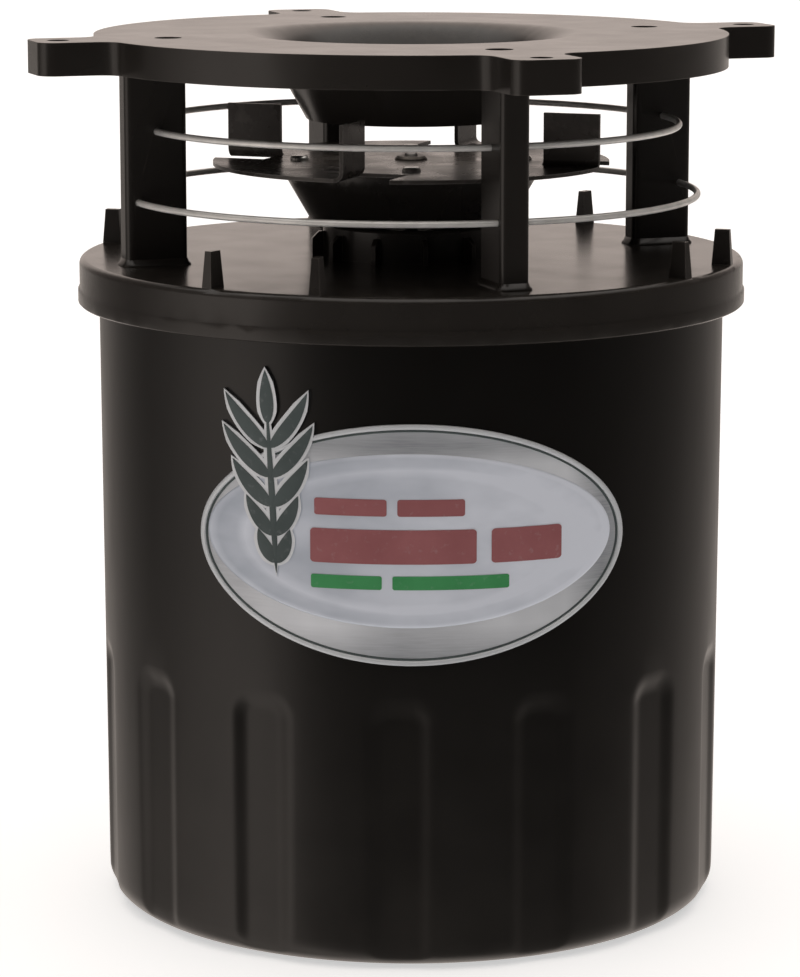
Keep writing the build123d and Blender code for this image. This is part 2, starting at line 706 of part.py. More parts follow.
def motor_can():
    can = disc(MOTOR_R, MOTOR_CAN_BOTTOM_Z, MOTOR_TOP_Z)
    can -= disc(MOTOR_R - MOTOR_CAN_WALL, MOTOR_CAN_BOTTOM_Z - 1, MOTOR_TOP_Z - MOTOR_CAN_WALL * 1.5)
    can -= disc(BUSHING_R, MOTOR_TOP_Z - 5, MOTOR_TOP_Z + 1)
    for x in (-MOTOR_SCREW_R, MOTOR_SCREW_R):
        can -= disc(SMALL_SHANK_R + HOLE_CLEARANCE, MOTOR_TOP_Z - 5, MOTOR_TOP_Z + 1, x)
    return can


def motor_magnets():
    """Two arc magnets inside the can."""
    outer = MOTOR_R - MOTOR_CAN_WALL - 0.1
    magnet = ring_sector(outer, MAGNET_INNER_R, ROTOR_Z[0] - 1, ROTOR_Z[1] + 2, 38)
    return Compound(repeated(magnet, 2))


def motor_end_cap():
    cap = disc(MOTOR_R, MOTOR_CAP_BOTTOM_Z, MOTOR_CAN_BOTTOM_Z)
    cap -= disc(BUSHING_R, MOTOR_CAP_BOTTOM_Z + END_CAP_THICKNESS, MOTOR_CAN_BOTTOM_Z + 1)
    tag_way = block(
        (-TAG_HALF_WIDTH, TAG_HALF_WIDTH),
        (-TAG_HALF_THICKNESS, TAG_HALF_THICKNESS),
        (MOTOR_CAP_BOTTOM_Z - 1, MOTOR_CAN_BOTTOM_Z + 1),
    )
    for x in (-MOTOR_LEAD_X, MOTOR_LEAD_X):
        cap -= Pos(x, 0, 0) * tag_way
    return cap


def motor_bushing(low, high):
    return tube(BUSHING_R, SHAFT_R + SHAFT_PLAY, low, high)


def motor_terminals():
    """Two solder tags through the end cap."""
    tag = block(
        (-TAG_HALF_WIDTH, TAG_HALF_WIDTH),
        (-TAG_HALF_THICKNESS, TAG_HALF_THICKNESS),
        (MOTOR_CAP_BOTTOM_Z - TAG_LENGTH, MOTOR_CAN_BOTTOM_Z + 2),
    )
    return Compound([Pos(x, 0, 0) * tag for x in (-MOTOR_LEAD_X, MOTOR_LEAD_X)])


def motor_screws():
    screw = Pos(0, 0, MOTOR_BOSS_TOP_Z) * pan_screw(SMALL_SHANK_R, SMALL_HEAD_R + 0.3, 6.0, 1.1)
    return Compound([Pos(x, 0, 0) * screw for x in (-MOTOR_SCREW_R, MOTOR_SCREW_R)])


def shaft_seal():
    """A felt ring in the top of the boss that keeps dust off the motor's shaft."""
    return tube(SEAL_R, SHAFT_R + 0.1, MOTOR_TOP_Z, MOTOR_BOSS_TOP_Z)


# ================================================================ control unit
def control_box():
    """The open-fronted case under the lid, in front of the motor."""
    box = block((-BOX_HALF_WIDTH, BOX_HALF_WIDTH), (BOX_FRONT_Y, BOX_BACK_Y), BOX_Z)
    box = fillet(box.edges().filter_by(Axis.Y), BOX_CORNER_R)
    box -= block(
        (-BOX_HALF_WIDTH + BOX_WALL, BOX_HALF_WIDTH - BOX_WALL),
        (BOX_FRONT_Y - 1, BOX_BACK_Y - BOX_WALL),
        (BOX_Z[0] + BOX_WALL, BOX_Z[1] - BOX_WALL),
    )
    pillar = disc(COVER_PILLAR_R, 0, BOX_BACK_Y - BOX_FRONT_Y - 1)
    pillar -= disc(SMALL_SHANK_R + HOLE_CLEARANCE, -1, 10)
    for x, z in cover_screw_places():
        box -= Pos(x, BOX_FRONT_Y, z) * Rot(-90, 0, 0) * disc(SMALL_SHANK_R + HOLE_CLEARANCE, -1, 10)
        box += Pos(x, BOX_FRONT_Y, z) * Rot(-90, 0, 0) * pillar
    for x, y in under_bosses()[1]:
        box -= disc(SMALL_SHANK_R + HOLE_CLEARANCE, BOX_Z[1] - 3, BOX_Z[1] + 1, x, y)
    box -= disc(GROMMET_R, BOX_Z[0] - 1, BOX_Z[0] + 3, *BATTERY_GROMMET)
    box -= Pos(0, BOX_BACK_Y, MOTOR_GROMMET_Z) * Rot(90, 0, 0) * disc(GROMMET_R, -1, 3)
    return box


def cover_screw_places():
    x = BOX_HALF_WIDTH - COVER_PILLAR_INSET
    heights = (BOX_Z[0] + COVER_PILLAR_INSET, BOX_Z[1] - COVER_PILLAR_INSET)
    return [(side * x, z) for side in (-1, 1) for z in heights]


def control_cover():
    """The front plate of the control unit, with openings for the window, buttons and switch."""
    back = BOX_FRONT_Y
    front = BOX_FRONT_Y - COVER_THICKNESS
    cover = block((-BOX_HALF_WIDTH, BOX_HALF_WIDTH), (front, back), BOX_Z)
    cover = fillet(cover.edges().filter_by(Axis.Y), BOX_CORNER_R)
    cover -= Pos(0, back, WINDOW_Z) * Box(WINDOW_SIZE[0], 10, WINDOW_SIZE[1])
    for x in BUTTON_XS:
        cover -= Pos(x, back, BUTTON_Z) * Rot(90, 0, 0) * Cylinder(BUTTON_R + PART_PLAY, 10)
    cover -= Pos(0, back, SWITCH_Z) * Box(5 + SWITCH_TRAVEL + 2 * PART_PLAY, 10, 4 + 2 * PART_PLAY)
    for x, z in cover_screw_places():
        cover -= Pos(x, back, z) * Rot(90, 0, 0) * Cylinder(SMALL_SHANK_R + HOLE_CLEARANCE, 10)
    return cover


def control_screws():
    screw = Rot(90, 0, 0) * pan_screw(SMALL_SHANK_R, SMALL_HEAD_R, 8.0, 1.6)
    front = BOX_FRONT_Y - COVER_THICKNESS
    return Compound([Pos(x, front, z) * screw for x, z in cover_screw_places()])


def display_window():
    """The clear window, flush in the cover with a flange behind it."""
    width = WINDOW_SIZE[0] - 2 * PART_PLAY
    height = WINDOW_SIZE[1] - 2 * PART_PLAY
    pane = Pos(0, BOX_FRONT_Y - COVER_THICKNESS / 2, WINDOW_Z) * Box(width, COVER_THICKNESS, height)
    flange = Pos(0, BOX_FRONT_Y + 0.5, WINDOW_Z) * Box(width + 3, 1.0, height + 3)
    return pane + flange


def display_panel():
    return Pos(0, BOX_FRONT_Y + 2.4, WINDOW_Z) * Box(WINDOW_SIZE[0] - 2, 2.2, WINDOW_SIZE[1] - 2)


def circuit_board():
    """The board with its timer chip, relay and button contacts."""
    board = block(
        (-BOX_HALF_WIDTH + 9, BOX_HALF_WIDTH - 9),
        (BOARD_Y, BOARD_Y + BOARD_THICKNESS),
        (BOX_Z[0] + 3, BOX_Z[1] - 4),
    )
    relay = block((-34, -18), (BOARD_Y + BOARD_THICKNESS, BOARD_Y + 13), (BOX_Z[0] + 8, BOX_Z[0] + 20))
    chip = block((-6, 6), (BOARD_Y + BOARD_THICKNESS, BOARD_Y + 4), (BOX_Z[0] + 26, BOX_Z[0] + 38))
    made = board + relay + chip
    for x in BUTTON_XS:
        made += Pos(x, BOARD_Y - 1.2, BUTTON_Z) * Rot(90, 0, 0) * Cylinder(2.2, 2.4)
    for x in (-16, 16):
        made += block((x - 2, x + 2), (BOX_FRONT_Y + 3.6, BOARD_Y + 0.5), (WINDOW_Z - 6, WINDOW_Z - 2))
    return made


def push_button(x):
    """A round button with a flange behind the cover, its face towards -Y."""
    face = BOX_FRONT_Y - COVER_THICKNESS - 2.0
    stem = Pos(x, face, BUTTON_Z) * Rot(-90, 0, 0) * disc(BUTTON_R, 0, 9.2)
    rim = stem.edges().filter_by(GeomType.CIRCLE).sort_by(Axis.Y)[0]
    stem = fillet(rim, 0.7)
    return stem + Pos(x, BOX_FRONT_Y + PART_PLAY, BUTTON_Z) * Rot(-90, 0, 0) * disc(BUTTON_R + 1.2, 0, 1.2)


def power_switch():
    """The sliding switch at the off end of its travel, its thumb ridge towards -Y."""
    x = -SWITCH_TRAVEL / 2
    front = BOX_FRONT_Y - COVER_THICKNESS - 1.8
    stem = block((x - 2.5, x + 2.5), (front, BOX_FRONT_Y + 1), (SWITCH_Z - 2, SWITCH_Z + 2))
    shoe = block(
        (x - 6.5, x + 6.5), (BOX_FRONT_Y + PART_PLAY, BOX_FRONT_Y + 2.2), (SWITCH_Z - 3.6, SWITCH_Z + 3.6)
    )
    return stem + shoe


def control_hanger_screws():
    """Two screws from inside the case up into the lid."""
    screw = Rot(180, 0, 0) * pan_screw(SMALL_SHANK_R, SMALL_HEAD_R, 7.0, 1.6)
    return Compound([Pos(x, y, BOX_Z[1] - BOX_WALL) * screw for x, y in under_bosses()[1]])


# ================================================================ battery and cradle
def battery():
    half = BATTERY_WIDTH / 2
    body = block((-half, half), (-half, half), (BATTERY_BOTTOM_Z, BATTERY_BOTTOM_Z + BATTERY_HEIGHT))
    body = fillet(body.edges().filter_by(Axis.Z), BATTERY_CORNER_R)
    top = body.faces().sort_by(Axis.Z)[-1]
    return fillet(top.edges(), 1.5)


def terminal_spring(x, y):
    """A battery's terminal, as closed wire rings that narrow upwards round a core."""
    base = BATTERY_BOTTOM_Z + BATTERY_HEIGHT
    spring = disc(SPRING_R * 0.55, base, base + SPRING_HEIGHT, x, y)
    for turn in range(SPRING_TURNS):
        radius = SPRING_R - 0.7 * turn
        height = base + SPRING_WIRE_R + turn * SPRING_HEIGHT / SPRING_TURNS
        spring += Pos(x, y, height) * Torus(radius - 1.0, SPRING_WIRE_R + 0.5)
    return spring & disc(SPRING_R * 2, base, base + SPRING_HEIGHT + 1, x, y)


def battery_cradle():
    """A tray under the battery with two straps up to flanges under the lid."""
    inner = CRADLE_INNER / 2
    outer = inner + CRADLE_WALL
    bottom = CRADLE_BOTTOM_Z
    tray = block((-outer, outer), (-outer, outer), (bottom, bottom + CRADLE_LIP_HEIGHT))
    tray = fillet(tray.edges().filter_by(Axis.Z), 4)
    tray -= block((-inner, inner), (-inner, inner), (bottom + CRADLE_WALL, bottom + CRADLE_LIP_HEIGHT + 1))
    tray -= disc(18, bottom - 1, bottom + CRADLE_WALL + 1)
    half_strap = CRADLE_STRAP_WIDTH / 2
    strap = block((inner, outer), (-half_strap, half_strap), (bottom, LID_BOSS_BOTTOM_Z))
    flange_z = (LID_BOSS_BOTTOM_Z - CRADLE_WALL, LID_BOSS_BOTTOM_Z)
    flange = block((inner, outer + CRADLE_FLANGE), (-half_strap, half_strap), flange_z)
    for side in (0, 180):
        tray += turned(strap + flange, side)
    for x, y in under_bosses()[0]:
        tray -= disc(SMALL_SHANK_R + HOLE_CLEARANCE, LID_BOSS_BOTTOM_Z - 5, LID_BOSS_BOTTOM_Z + 1, x, y)
    return tray


def cradle_screws():
    screw = Rot(180, 0, 0) * pan_screw(SMALL_SHANK_R, SMALL_HEAD_R + 0.4, 8.0, 1.7)
    return Compound([Pos(x, y, LID_BOSS_BOTTOM_Z - CRADLE_WALL) * screw for x, y in under_bosses()[0]])


# ================================================================ leads
def battery_lead(start_x, start_y, end_side):
    """A lead from a battery terminal up into the grommet in the control case's floor."""
    top = BATTERY_BOTTOM_Z + BATTERY_HEIGHT + SPRING_HEIGHT + LEAD_R
    end_x = BATTERY_GROMMET[0] + end_side * LEAD_R * 1.15
    end_y = BATTERY_GROMMET[1]
    points = [
        (start_x, start_y, top),
        (start_x + (end_x - start_x) * 0.35, start_y + (end_y - start_y) * 0.4, top + 0.5),
        (end_x - (end_x - start_x) * 0.1, end_y + 7, top + 3),
        (end_x, end_y, top + 9),
        (end_x, end_y, BOX_Z[0] + 8),
    ]
    return lead(points, [9.0, 5.5, 5.0])


def motor_lead(side):
    """A lead from a motor tag, down and forward through the grommet in the case's back."""
    start_z = MOTOR_CAP_BOTTOM_Z - TAG_LENGTH
    end_x = side * LEAD_R * 1.15
    points = [
        (side * MOTOR_LEAD_X, 0, start_z),
        (side * MOTOR_LEAD_X, 0, start_z - 7),
        (side * MOTOR_LEAD_X * 0.6, -10, MOTOR_GROMMET_Z),
        (end_x, -19, MOTOR_GROMMET_Z),
        (end_x, BOX_BACK_Y - 8, MOTOR_GROMMET_Z),
    ]
    return lead(points, [4.5, 5.5, 12.0])


def lead_grommets():
    """Rubber grommets in the case's floor and back, each with a way for two leads."""
    lower = disc(GROMMET_R + 1.4, BOX_Z[0] - 1.2, BOX_Z[0], *BATTERY_GROMMET)
    lower += disc(GROMMET_R, BOX_Z[0], BOX_Z[0] + BOX_WALL + 0.5, *BATTERY_GROMMET)
    back = Pos(0, BOX_BACK_Y, MOTOR_GROMMET_Z) * Rot(90, 0, 0) * disc(GROMMET_R + 1.4, -1.2, 0)
    back += Pos(0, BOX_BACK_Y, MOTOR_GROMMET_Z) * Rot(90, 0, 0) * disc(GROMMET_R, 0, BOX_WALL + 0.5)
    for side in (-1, 1):
        shift = side * LEAD_R * 1.15
        lead_x, lead_y = BATTERY_GROMMET[0] + shift, BATTERY_GROMMET[1]
        lower -= disc(LEAD_R + 0.02, BOX_Z[0] - 3, BOX_Z[0] + 9, lead_x, lead_y)
        back -= Pos(shift, BOX_BACK_Y, MOTOR_GROMMET_Z) * Rot(90, 0, 0) * disc(LEAD_R + 0.02, -9, 9)
    return Compound([lower, back])


# ================================================================ screws of the head
def plate_screws():
    """Countersunk screws down through the top plate into the posts."""
    screw = Pos(POST_SCREW_R, 0, PLATE_TOP_Z - SCREW_RECESS - 0.4) * flat_screw(20)
    return Compound(repeated(screw, POST_COUNT, POST_FIRST_ANGLE))


def post_foot_screws():
    """Pan-head screws up through the lid into the posts."""
    underside = DECK_TOP_Z - DECK_THICKNESS
    screw = Rot(180, 0, 0) * pan_screw(SCREW_SHANK_R, SCREW_HEAD_R, 16, 2.0)
    return Compound(repeated(Pos(POST_SCREW_R, 0, underside) * screw, POST_COUNT, POST_FIRST_ANGLE))


# ================================================================ all pieces
def all_parts():
    """Every sub-part by its node name."""
    parts = {
        "canister": canister(),
        "badge": badge(),
        "gasket": gasket(),
        "head_lid": head_lid(),
        "top_plate": top_plate(),
        "upper_guard_ring": wire_ring(*UPPER_RING, GUARD_WIRE_R),
        "lower_guard_ring": wire_ring(*LOWER_RING, GUARD_WIRE_R),
        "plate_screws": plate_screws(),
        "post_foot_screws": post_foot_screws(),
        "spinner_plate": spinner_plate(),
        "spinner_hub": spinner_hub(),
        "spinner_rivets": spinner_rivets(),
        "hub_set_screw": hub_set_screw(),
        "shaft_clip": shaft_clip(),
        "motor_shaft": motor_shaft(),
        "motor_rotor": motor_rotor(),
        "motor_can": motor_can(),
        "motor_magnets": motor_magnets(),
        "motor_end_cap": motor_end_cap(),
        "motor_front_bushing": motor_bushing(MOTOR_TOP_Z - BUSHING_HEIGHT, MOTOR_TOP_Z),
        "motor_rear_bushing": motor_bushing(MOTOR_CAP_BOTTOM_Z + END_CAP_THICKNESS, MOTOR_CAN_BOTTOM_Z),
        "motor_terminals": motor_terminals(),
        "motor_screws": motor_screws(),
        "shaft_seal": shaft_seal(),
        "control_box": control_box(),
        "control_cover": control_cover(),
        "control_screws": control_screws(),
        "control_hanger_screws": control_hanger_screws(),
        "circuit_board": circuit_board(),
        "display_panel": display_panel(),
        "display_window": display_window(),
        "power_switch": power_switch(),
        "battery": battery(),
        "positive_terminal": terminal_spring(0, 0),
        "negative_terminal": terminal_spring(*NEGATIVE_SPRING),
        "battery_cradle": battery_cradle(),
        "cradle_screws": cradle_screws(),
        "battery_lead_positive": battery_lead(0, 0, -1),
        "battery_lead_negative": battery_lead(*NEGATIVE_SPRING, 1),
        "motor_lead_positive": motor_lead(1),
        "motor_lead_negative": motor_lead(-1),
        "lead_grommets": lead_grommets(),
    }
    for name, angle in zip(("right", "rear", "left", "front"), post_angles()):
        parts["post_" + name] = turned(post(), angle)
    for name, x in zip(BUTTON_NAMES, BUTTON_XS):
        parts["button_" + name] = push_button(x)
    return parts


os.makedirs("parts", exist_ok=True)
for node, solid in all_parts().items():
    export_step(solid, f"parts/{node}.step")
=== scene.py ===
import json
import math

import bmesh
import bpy
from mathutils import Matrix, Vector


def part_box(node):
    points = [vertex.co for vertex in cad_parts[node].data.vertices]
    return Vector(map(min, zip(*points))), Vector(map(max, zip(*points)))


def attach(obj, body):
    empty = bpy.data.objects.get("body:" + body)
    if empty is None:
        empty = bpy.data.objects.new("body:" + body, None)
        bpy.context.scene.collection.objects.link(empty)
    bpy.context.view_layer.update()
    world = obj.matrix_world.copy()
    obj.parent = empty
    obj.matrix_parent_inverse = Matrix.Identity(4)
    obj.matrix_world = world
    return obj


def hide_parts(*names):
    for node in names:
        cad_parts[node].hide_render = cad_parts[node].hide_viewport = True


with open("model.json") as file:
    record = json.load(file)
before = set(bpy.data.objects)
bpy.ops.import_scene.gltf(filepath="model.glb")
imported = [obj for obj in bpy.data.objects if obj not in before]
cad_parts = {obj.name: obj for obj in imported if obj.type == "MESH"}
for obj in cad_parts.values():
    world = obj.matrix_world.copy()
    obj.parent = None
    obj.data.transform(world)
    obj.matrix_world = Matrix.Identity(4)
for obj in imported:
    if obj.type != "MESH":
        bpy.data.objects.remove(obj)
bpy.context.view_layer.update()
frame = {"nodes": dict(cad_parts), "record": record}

MM = 0.001
NODES = frame["nodes"]
RECORD = frame["record"]

# ---------------------------------------------------------------- places read from the frame
def widest(node, low, high):
    """The largest distance from the feeder's axis among a node's points between two heights."""
    points = [vertex.co for vertex in NODES[node].data.vertices if low <= vertex.co.z <= high]
    return max(math.hypot(point.x, point.y) for point in points)


BADGE_LOW, BADGE_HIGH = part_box("badge")
CANISTER_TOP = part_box("canister")[1].z
TOP_RADIUS = widest("canister", CANISTER_TOP - 0.1 * MM, CANISTER_TOP + 0.1 * MM)
FOOT_RADIUS = widest("canister", 0.0, 12 * MM)
BADGE_CENTRE_Z = (BADGE_LOW.z + BADGE_HIGH.z) / 2
BADGE_HALF_WIDTH = (BADGE_HIGH.x - BADGE_LOW.x) / 2
BADGE_HALF_HEIGHT = (BADGE_HIGH.z - BADGE_LOW.z) / 2
INNER_OVAL_MIDDLE = (-0.8 * MM, BADGE_CENTRE_Z + 1.3 * MM)
INNER_OVAL_SIZE = (58.3 * MM, 25.4 * MM)


def wall_radius(height):
    """Outer radius of the canister's drafted wall."""
    return FOOT_RADIUS + (TOP_RADIUS - FOOT_RADIUS) * height / CANISTER_TOP


# ================================================================ materials
COAT_ROUGHNESS = 0.1
EDGE_SAMPLES = 4
EDGE_GAIN = 4.0
WEAR_WIDTH = 0.0006
FINE_WEAR_WIDTH = 0.0004
DUST_TONE = (0.16, 0.14, 0.12)
FOOT_DUST_TONE = (0.11, 0.095, 0.08)
# The range that a noise pattern mostly keeps to.
NOISE_LOW, NOISE_HIGH = 0.3, 0.7


class NodeTree:
    """Shader nodes that a finish and the studio's surroundings both use."""

    def __init__(self, tree):
        self.nodes, self.links = tree.nodes, tree.links

    def feed(self, socket, value):
        """Links a source to a socket, or sets a number or colour on it."""
        if isinstance(value, bpy.types.NodeSocket):
            self.links.new(value, socket)
        elif hasattr(value, "__len__"):
            socket.default_value = (*value, 1.0)
        else:
            socket.default_value = value

    def math(self, operation, first, second, third=0.0, clamp=False):
        node = self.nodes.new("ShaderNodeMath")
        node.operation = operation
        node.use_clamp = clamp
        for socket, value in zip(node.inputs, (first, second, third)):
            self.feed(socket, value)
        return node.outputs["Value"]

    def ramp(self, source, stops):
        """A colour or value curve over a 0 to 1 source. Stops are (position, value or colour)."""
        node = self.nodes.new("ShaderNodeValToRGB")
        while len(node.color_ramp.elements) < len(stops):
            node.color_ramp.elements.new(0.5)
        for element, (position, value) in zip(node.color_ramp.elements, stops):
            element.position = position
            colour = value if hasattr(value, "__len__") else (value, value, value)
            element.color = (*colour, 1.0)
        self.links.new(source, node.inputs["Fac"])
        return node.outputs["Color"]

    def mixed(self, factor, first, second):
        """Two colours mixed by a factor source."""
        node = self.nodes.new("ShaderNodeMix")
        node.data_type = "RGBA"
        for socket_name, value in (("Factor", factor), ("A", first), ("B", second)):
            self.feed(node.inputs[socket_name], value)
        return node.outputs["Result"]


class Finish(NodeTree):
    """A node material built up round one Principled shader, with its patterns in object space."""

    def __init__(self, name, roughness=0.5, metallic=0.0, specular=0.5, coat=0.0):
        self.material = bpy.data.materials.new(name)
        self.material.use_nodes = True
        super().__init__(self.material.node_tree)
        self.shader = self.nodes["Principled BSDF"]
        self.shader.inputs["Roughness"].default_value = roughness
        self.shader.inputs["Metallic"].default_value = metallic
        self.shader.inputs["Specular IOR Level"].default_value = specular
        self.shader.inputs["Coat Weight"].default_value = coat
        self.shader.inputs["Coat Roughness"].default_value = COAT_ROUGHNESS
        self.place = self.nodes.new("ShaderNodeTexCoord").outputs["Object"]
        self.normal = None

    def stretched(self, stretch):
        """Object coordinates scaled unevenly, for brushed or drawn patterns."""
        mapping = self.nodes.new("ShaderNodeMapping")
        mapping.inputs["Scale"].default_value = stretch
        self.links.new(self.place, mapping.inputs["Vector"])
        return mapping.outputs["Vector"]

    def noise(self, scale, detail=3.0, roughness=0.55, stretch=None):
        node = self.nodes.new("ShaderNodeTexNoise")
        node.inputs["Scale"].default_value = scale
        node.inputs["Detail"].default_value = detail
        node.inputs["Roughness"].default_value = roughness
        self.links.new(self.stretched(stretch) if stretch else self.place, node.inputs["Vector"])
        return node.outputs["Fac"]

    def cell_edges(self, scale):
        """Distance to the nearest edge of a pattern of cells."""
        node = self.nodes.new("ShaderNodeTexVoronoi")
        node.feature = "DISTANCE_TO_EDGE"
        node.inputs["Scale"].default_value = scale
        self.links.new(self.place, node.inputs["Vector"])
        return node.outputs["Distance"]

    def edges(self, radius):
        """0 on flat ground and rising to 1 on edges sharper than the radius."""
        bevel = self.nodes.new("ShaderNodeBevel")
        bevel.samples = EDGE_SAMPLES
        bevel.inputs["Radius"].default_value = radius
        geometry = self.nodes.new("ShaderNodeNewGeometry")
        dot = self.nodes.new("ShaderNodeVectorMath")
        dot.operation = "DOT_PRODUCT"
        self.links.new(bevel.outputs["Normal"], dot.inputs[0])
        self.links.new(geometry.outputs["Normal"], dot.inputs[1])
        away = self.math("SUBTRACT", 1.0, dot.outputs["Value"])
        return self.math("MULTIPLY", away, EDGE_GAIN, clamp=True)

    def facing_up(self):
        """How much the surface faces +Z, from 0 to 1."""
        geometry = self.nodes.new("ShaderNodeNewGeometry")
        split = self.nodes.new("ShaderNodeSeparateXYZ")
        self.links.new(geometry.outputs["Normal"], split.inputs["Vector"])
        return self.math("MAXIMUM", split.outputs["Z"], 0.0)

    def height(self):
        """The Z of the point in object space, in metres."""
        split = self.nodes.new("ShaderNodeSeparateXYZ")
        self.links.new(self.place, split.inputs["Vector"])
        return split.outputs["Z"]

    def colour(self, value):
        self.feed(self.shader.inputs["Base Color"], value)
        return self

    def gloss(self, value):
        self.feed(self.shader.inputs["Roughness"], value)
        return self

    def uneven_gloss(self, scale, low, high, detail=3.0):
        """Roughness that wanders between two values."""
        wander = self.noise(scale, detail=detail)
        return self.gloss(self.ramp(wander, [(NOISE_LOW, low), (NOISE_HIGH, high)]))

    def bump(self, source, depth, strength=1.0):
        """Adds a bump of that depth in metres on top of those already there."""
        node = self.nodes.new("ShaderNodeBump")
        node.inputs["Strength"].default_value = strength
        node.inputs["Distance"].default_value = depth
        self.links.new(source, node.inputs["Height"])
        if self.normal is not None:
            self.links.new(self.normal, node.inputs["Normal"])
        self.normal = node.outputs["Normal"]
        self.links.new(self.normal, self.shader.inputs["Normal"])
        return self


def moulded_plastic(
    name, dark, light, roughness=(0.30, 0.42), peel=0.00002, grain=0.0000015, dust=0.25, foot_dust=0.0
):
    """Moulded plastic: faint flow mottling, orange peel, fine grain, dust and paler worn edges."""
    finish = Finish(name)
    mottle = finish.noise(22.0, detail=5.0)
    body = finish.mixed(finish.ramp(mottle, [(0.35, 0.0), (0.7, 1.0)]), dark, light)
    rubbing = finish.ramp(finish.noise(140.0), [(0.35, 0.1), (0.65, 0.8)])
    worn = finish.math("MULTIPLY", finish.edges(WEAR_WIDTH), rubbing)
    body = finish.mixed(worn, body, tuple(4.0 * channel + 0.010 for channel in light))
    specks = finish.ramp(finish.noise(260.0, detail=6.0), [(0.42, 0.35 * dust), (0.74, dust)])
    body = finish.mixed(finish.math("MULTIPLY", specks, finish.facing_up()), body, DUST_TONE)
    if foot_dust:
        near_foot = finish.math("SUBTRACT", 1.0, finish.math("MULTIPLY", finish.height(), 9.0), clamp=True)
        cloud = finish.ramp(finish.noise(35.0, detail=6.0), [(0.3, 0.35 * foot_dust), (0.7, foot_dust)])
        body = finish.mixed(finish.math("MULTIPLY", near_foot, cloud), body, FOOT_DUST_TONE)
    finish.colour(body)
    low, high = roughness
    rubbed = finish.noise(60.0, detail=4.0, stretch=(1.0, 1.0, 0.35))
    finish.gloss(finish.ramp(rubbed, [(0.3, low), (0.7, high)]))
    finish.bump(finish.noise(55.0, detail=2.0), peel)
    finish.bump(finish.noise(1300.0, detail=2.0), grain)
    return finish.material


def bright_wire():
    """Galvanised wire: soft metallic under a pale zinc bloom that scatters light."""
    finish = Finish("galvanised_wire", metallic=0.6)
    bloom = finish.noise(160.0, detail=4.0)
    finish.colour(finish.ramp(bloom, [(0.3, (0.74, 0.73, 0.71)), (0.7, (0.90, 0.89, 0.87))]))
    finish.uneven_gloss(300.0, 0.36, 0.48)
    finish.bump(finish.noise(900.0, detail=3.0), 0.000003)
    return finish.material


def plain_metal(name, dark, light, roughness=(0.25, 0.45), stretch=None, scale=300.0):
    """Bare or plated metal with uneven tone, fine tool marks and brighter rubbed edges."""
    finish = Finish(name, metallic=1.0)
    tone = finish.noise(scale, detail=5.0, stretch=stretch)
    body = finish.mixed(finish.ramp(tone, [(0.3, 0.0), (0.7, 1.0)]), dark, light)
    bright = tuple(min(1.0, channel * 1.5 + 0.05) for channel in light)
    finish.colour(finish.mixed(finish.edges(FINE_WEAR_WIDTH), body, bright))
    finish.uneven_gloss(scale * 0.4, *roughness)
    finish.bump(finish.noise(scale * 4.0, detail=3.0, stretch=stretch), 0.000004)
    return finish.material


def spinner_paint():
    """Dark coated sheet steel, scuffed where feed strikes it."""
    finish = Finish("spinner_steel")
    scuffs = finish.ramp(finish.noise(180.0, detail=7.0, roughness=0.7), [(0.52, 0.0), (0.70, 1.0)])
    body = finish.mixed(scuffs, (0.040, 0.034, 0.030), (0.085, 0.074, 0.066))
    finish.colour(finish.mixed(finish.edges(0.0005), body, (0.16, 0.15, 0.14)))
    finish.uneven_gloss(90.0, 0.20, 0.36, detail=5.0)
    finish.bump(finish.noise(400.0, detail=4.0), 0.000005)
    return finish.material


def soft_rubber(name, tone):
    finish = Finish(name, specular=0.3)
    lighter = tuple(channel * 1.8 + 0.004 for channel in tone)
    finish.colour(finish.mixed(finish.noise(120.0, detail=5.0), tone, lighter))
    finish.uneven_gloss(200.0, 0.6, 0.85)
    finish.bump(finish.noise(1400.0), 0.00001)
    return finish.material


def gloss_plastic(name, tone, roughness=(0.18, 0.30)):
    """Smooth glossy plastic with a faint cast unevenness and scuffed edges."""
    finish = Finish(name, coat=0.2)
    lighter = tuple(min(1.0, channel * 1.25 + 0.006) for channel in tone)
    body = finish.mixed(finish.noise(80.0, detail=3.0), tone, lighter)
    scuffed = tuple(min(1.0, channel * 1.6 + 0.03) for channel in tone)
    finish.colour(finish.mixed(finish.edges(FINE_WEAR_WIDTH), body, scuffed))
    finish.uneven_gloss(150.0, *roughness)
    finish.bump(finish.noise(600.0), 0.000002)
    return finish.material


def printed_ink(name, tone, wear=0.35):
    """Screen-printed ink on foil: uneven cover, a soft sheen and tiny rubbed spots."""
    finish = Finish(name, specular=0.35)
    thin = tuple(min(1.0, channel * 1.4 + 0.03) for channel in tone)
    cover = finish.mixed(finish.noise(90.0, detail=4.0), tone, thin)
    spots = finish.ramp(finish.noise(420.0, detail=5.0), [(0.60, 0.0), (0.75, wear)])
    finish.colour(finish.mixed(spots, cover, (0.45, 0.45, 0.47)))
    finish.uneven_gloss(200.0, 0.38, 0.52)
    finish.bump(finish.noise(900.0, detail=2.0), 0.000002)
    return finish.material


def foil_surface(finish):
    """The gloss and the fine drawn grain that all the label's foil has."""
    finish.uneven_gloss(120.0, 0.34, 0.48, detail=5.0)
    finish.bump(finish.noise(1100.0, detail=2.0, stretch=(0.2, 0.2, 3.0)), 0.000002)
    return finish.material


# The foil's brightness up and across the badge, as (share of the way, brightness).
SILVER_RISE = [
    (0.0, 0.35),
    (0.06, 0.55),
    (0.16, 1.0),
    (0.30, 0.80),
    (0.82, 0.95),
    (0.91, 0.40),
    (1.0, 0.90),
]
SILVER_ACROSS = [
    (0.0, 0.55),
    (0.14, 0.80),
    (0.32, 1.0),
    (0.47, 0.62),
    (0.56, 0.70),
    (0.72, 1.0),
    (0.86, 1.0),
    (0.95, 0.25),
    (1.0, 0.45),
]


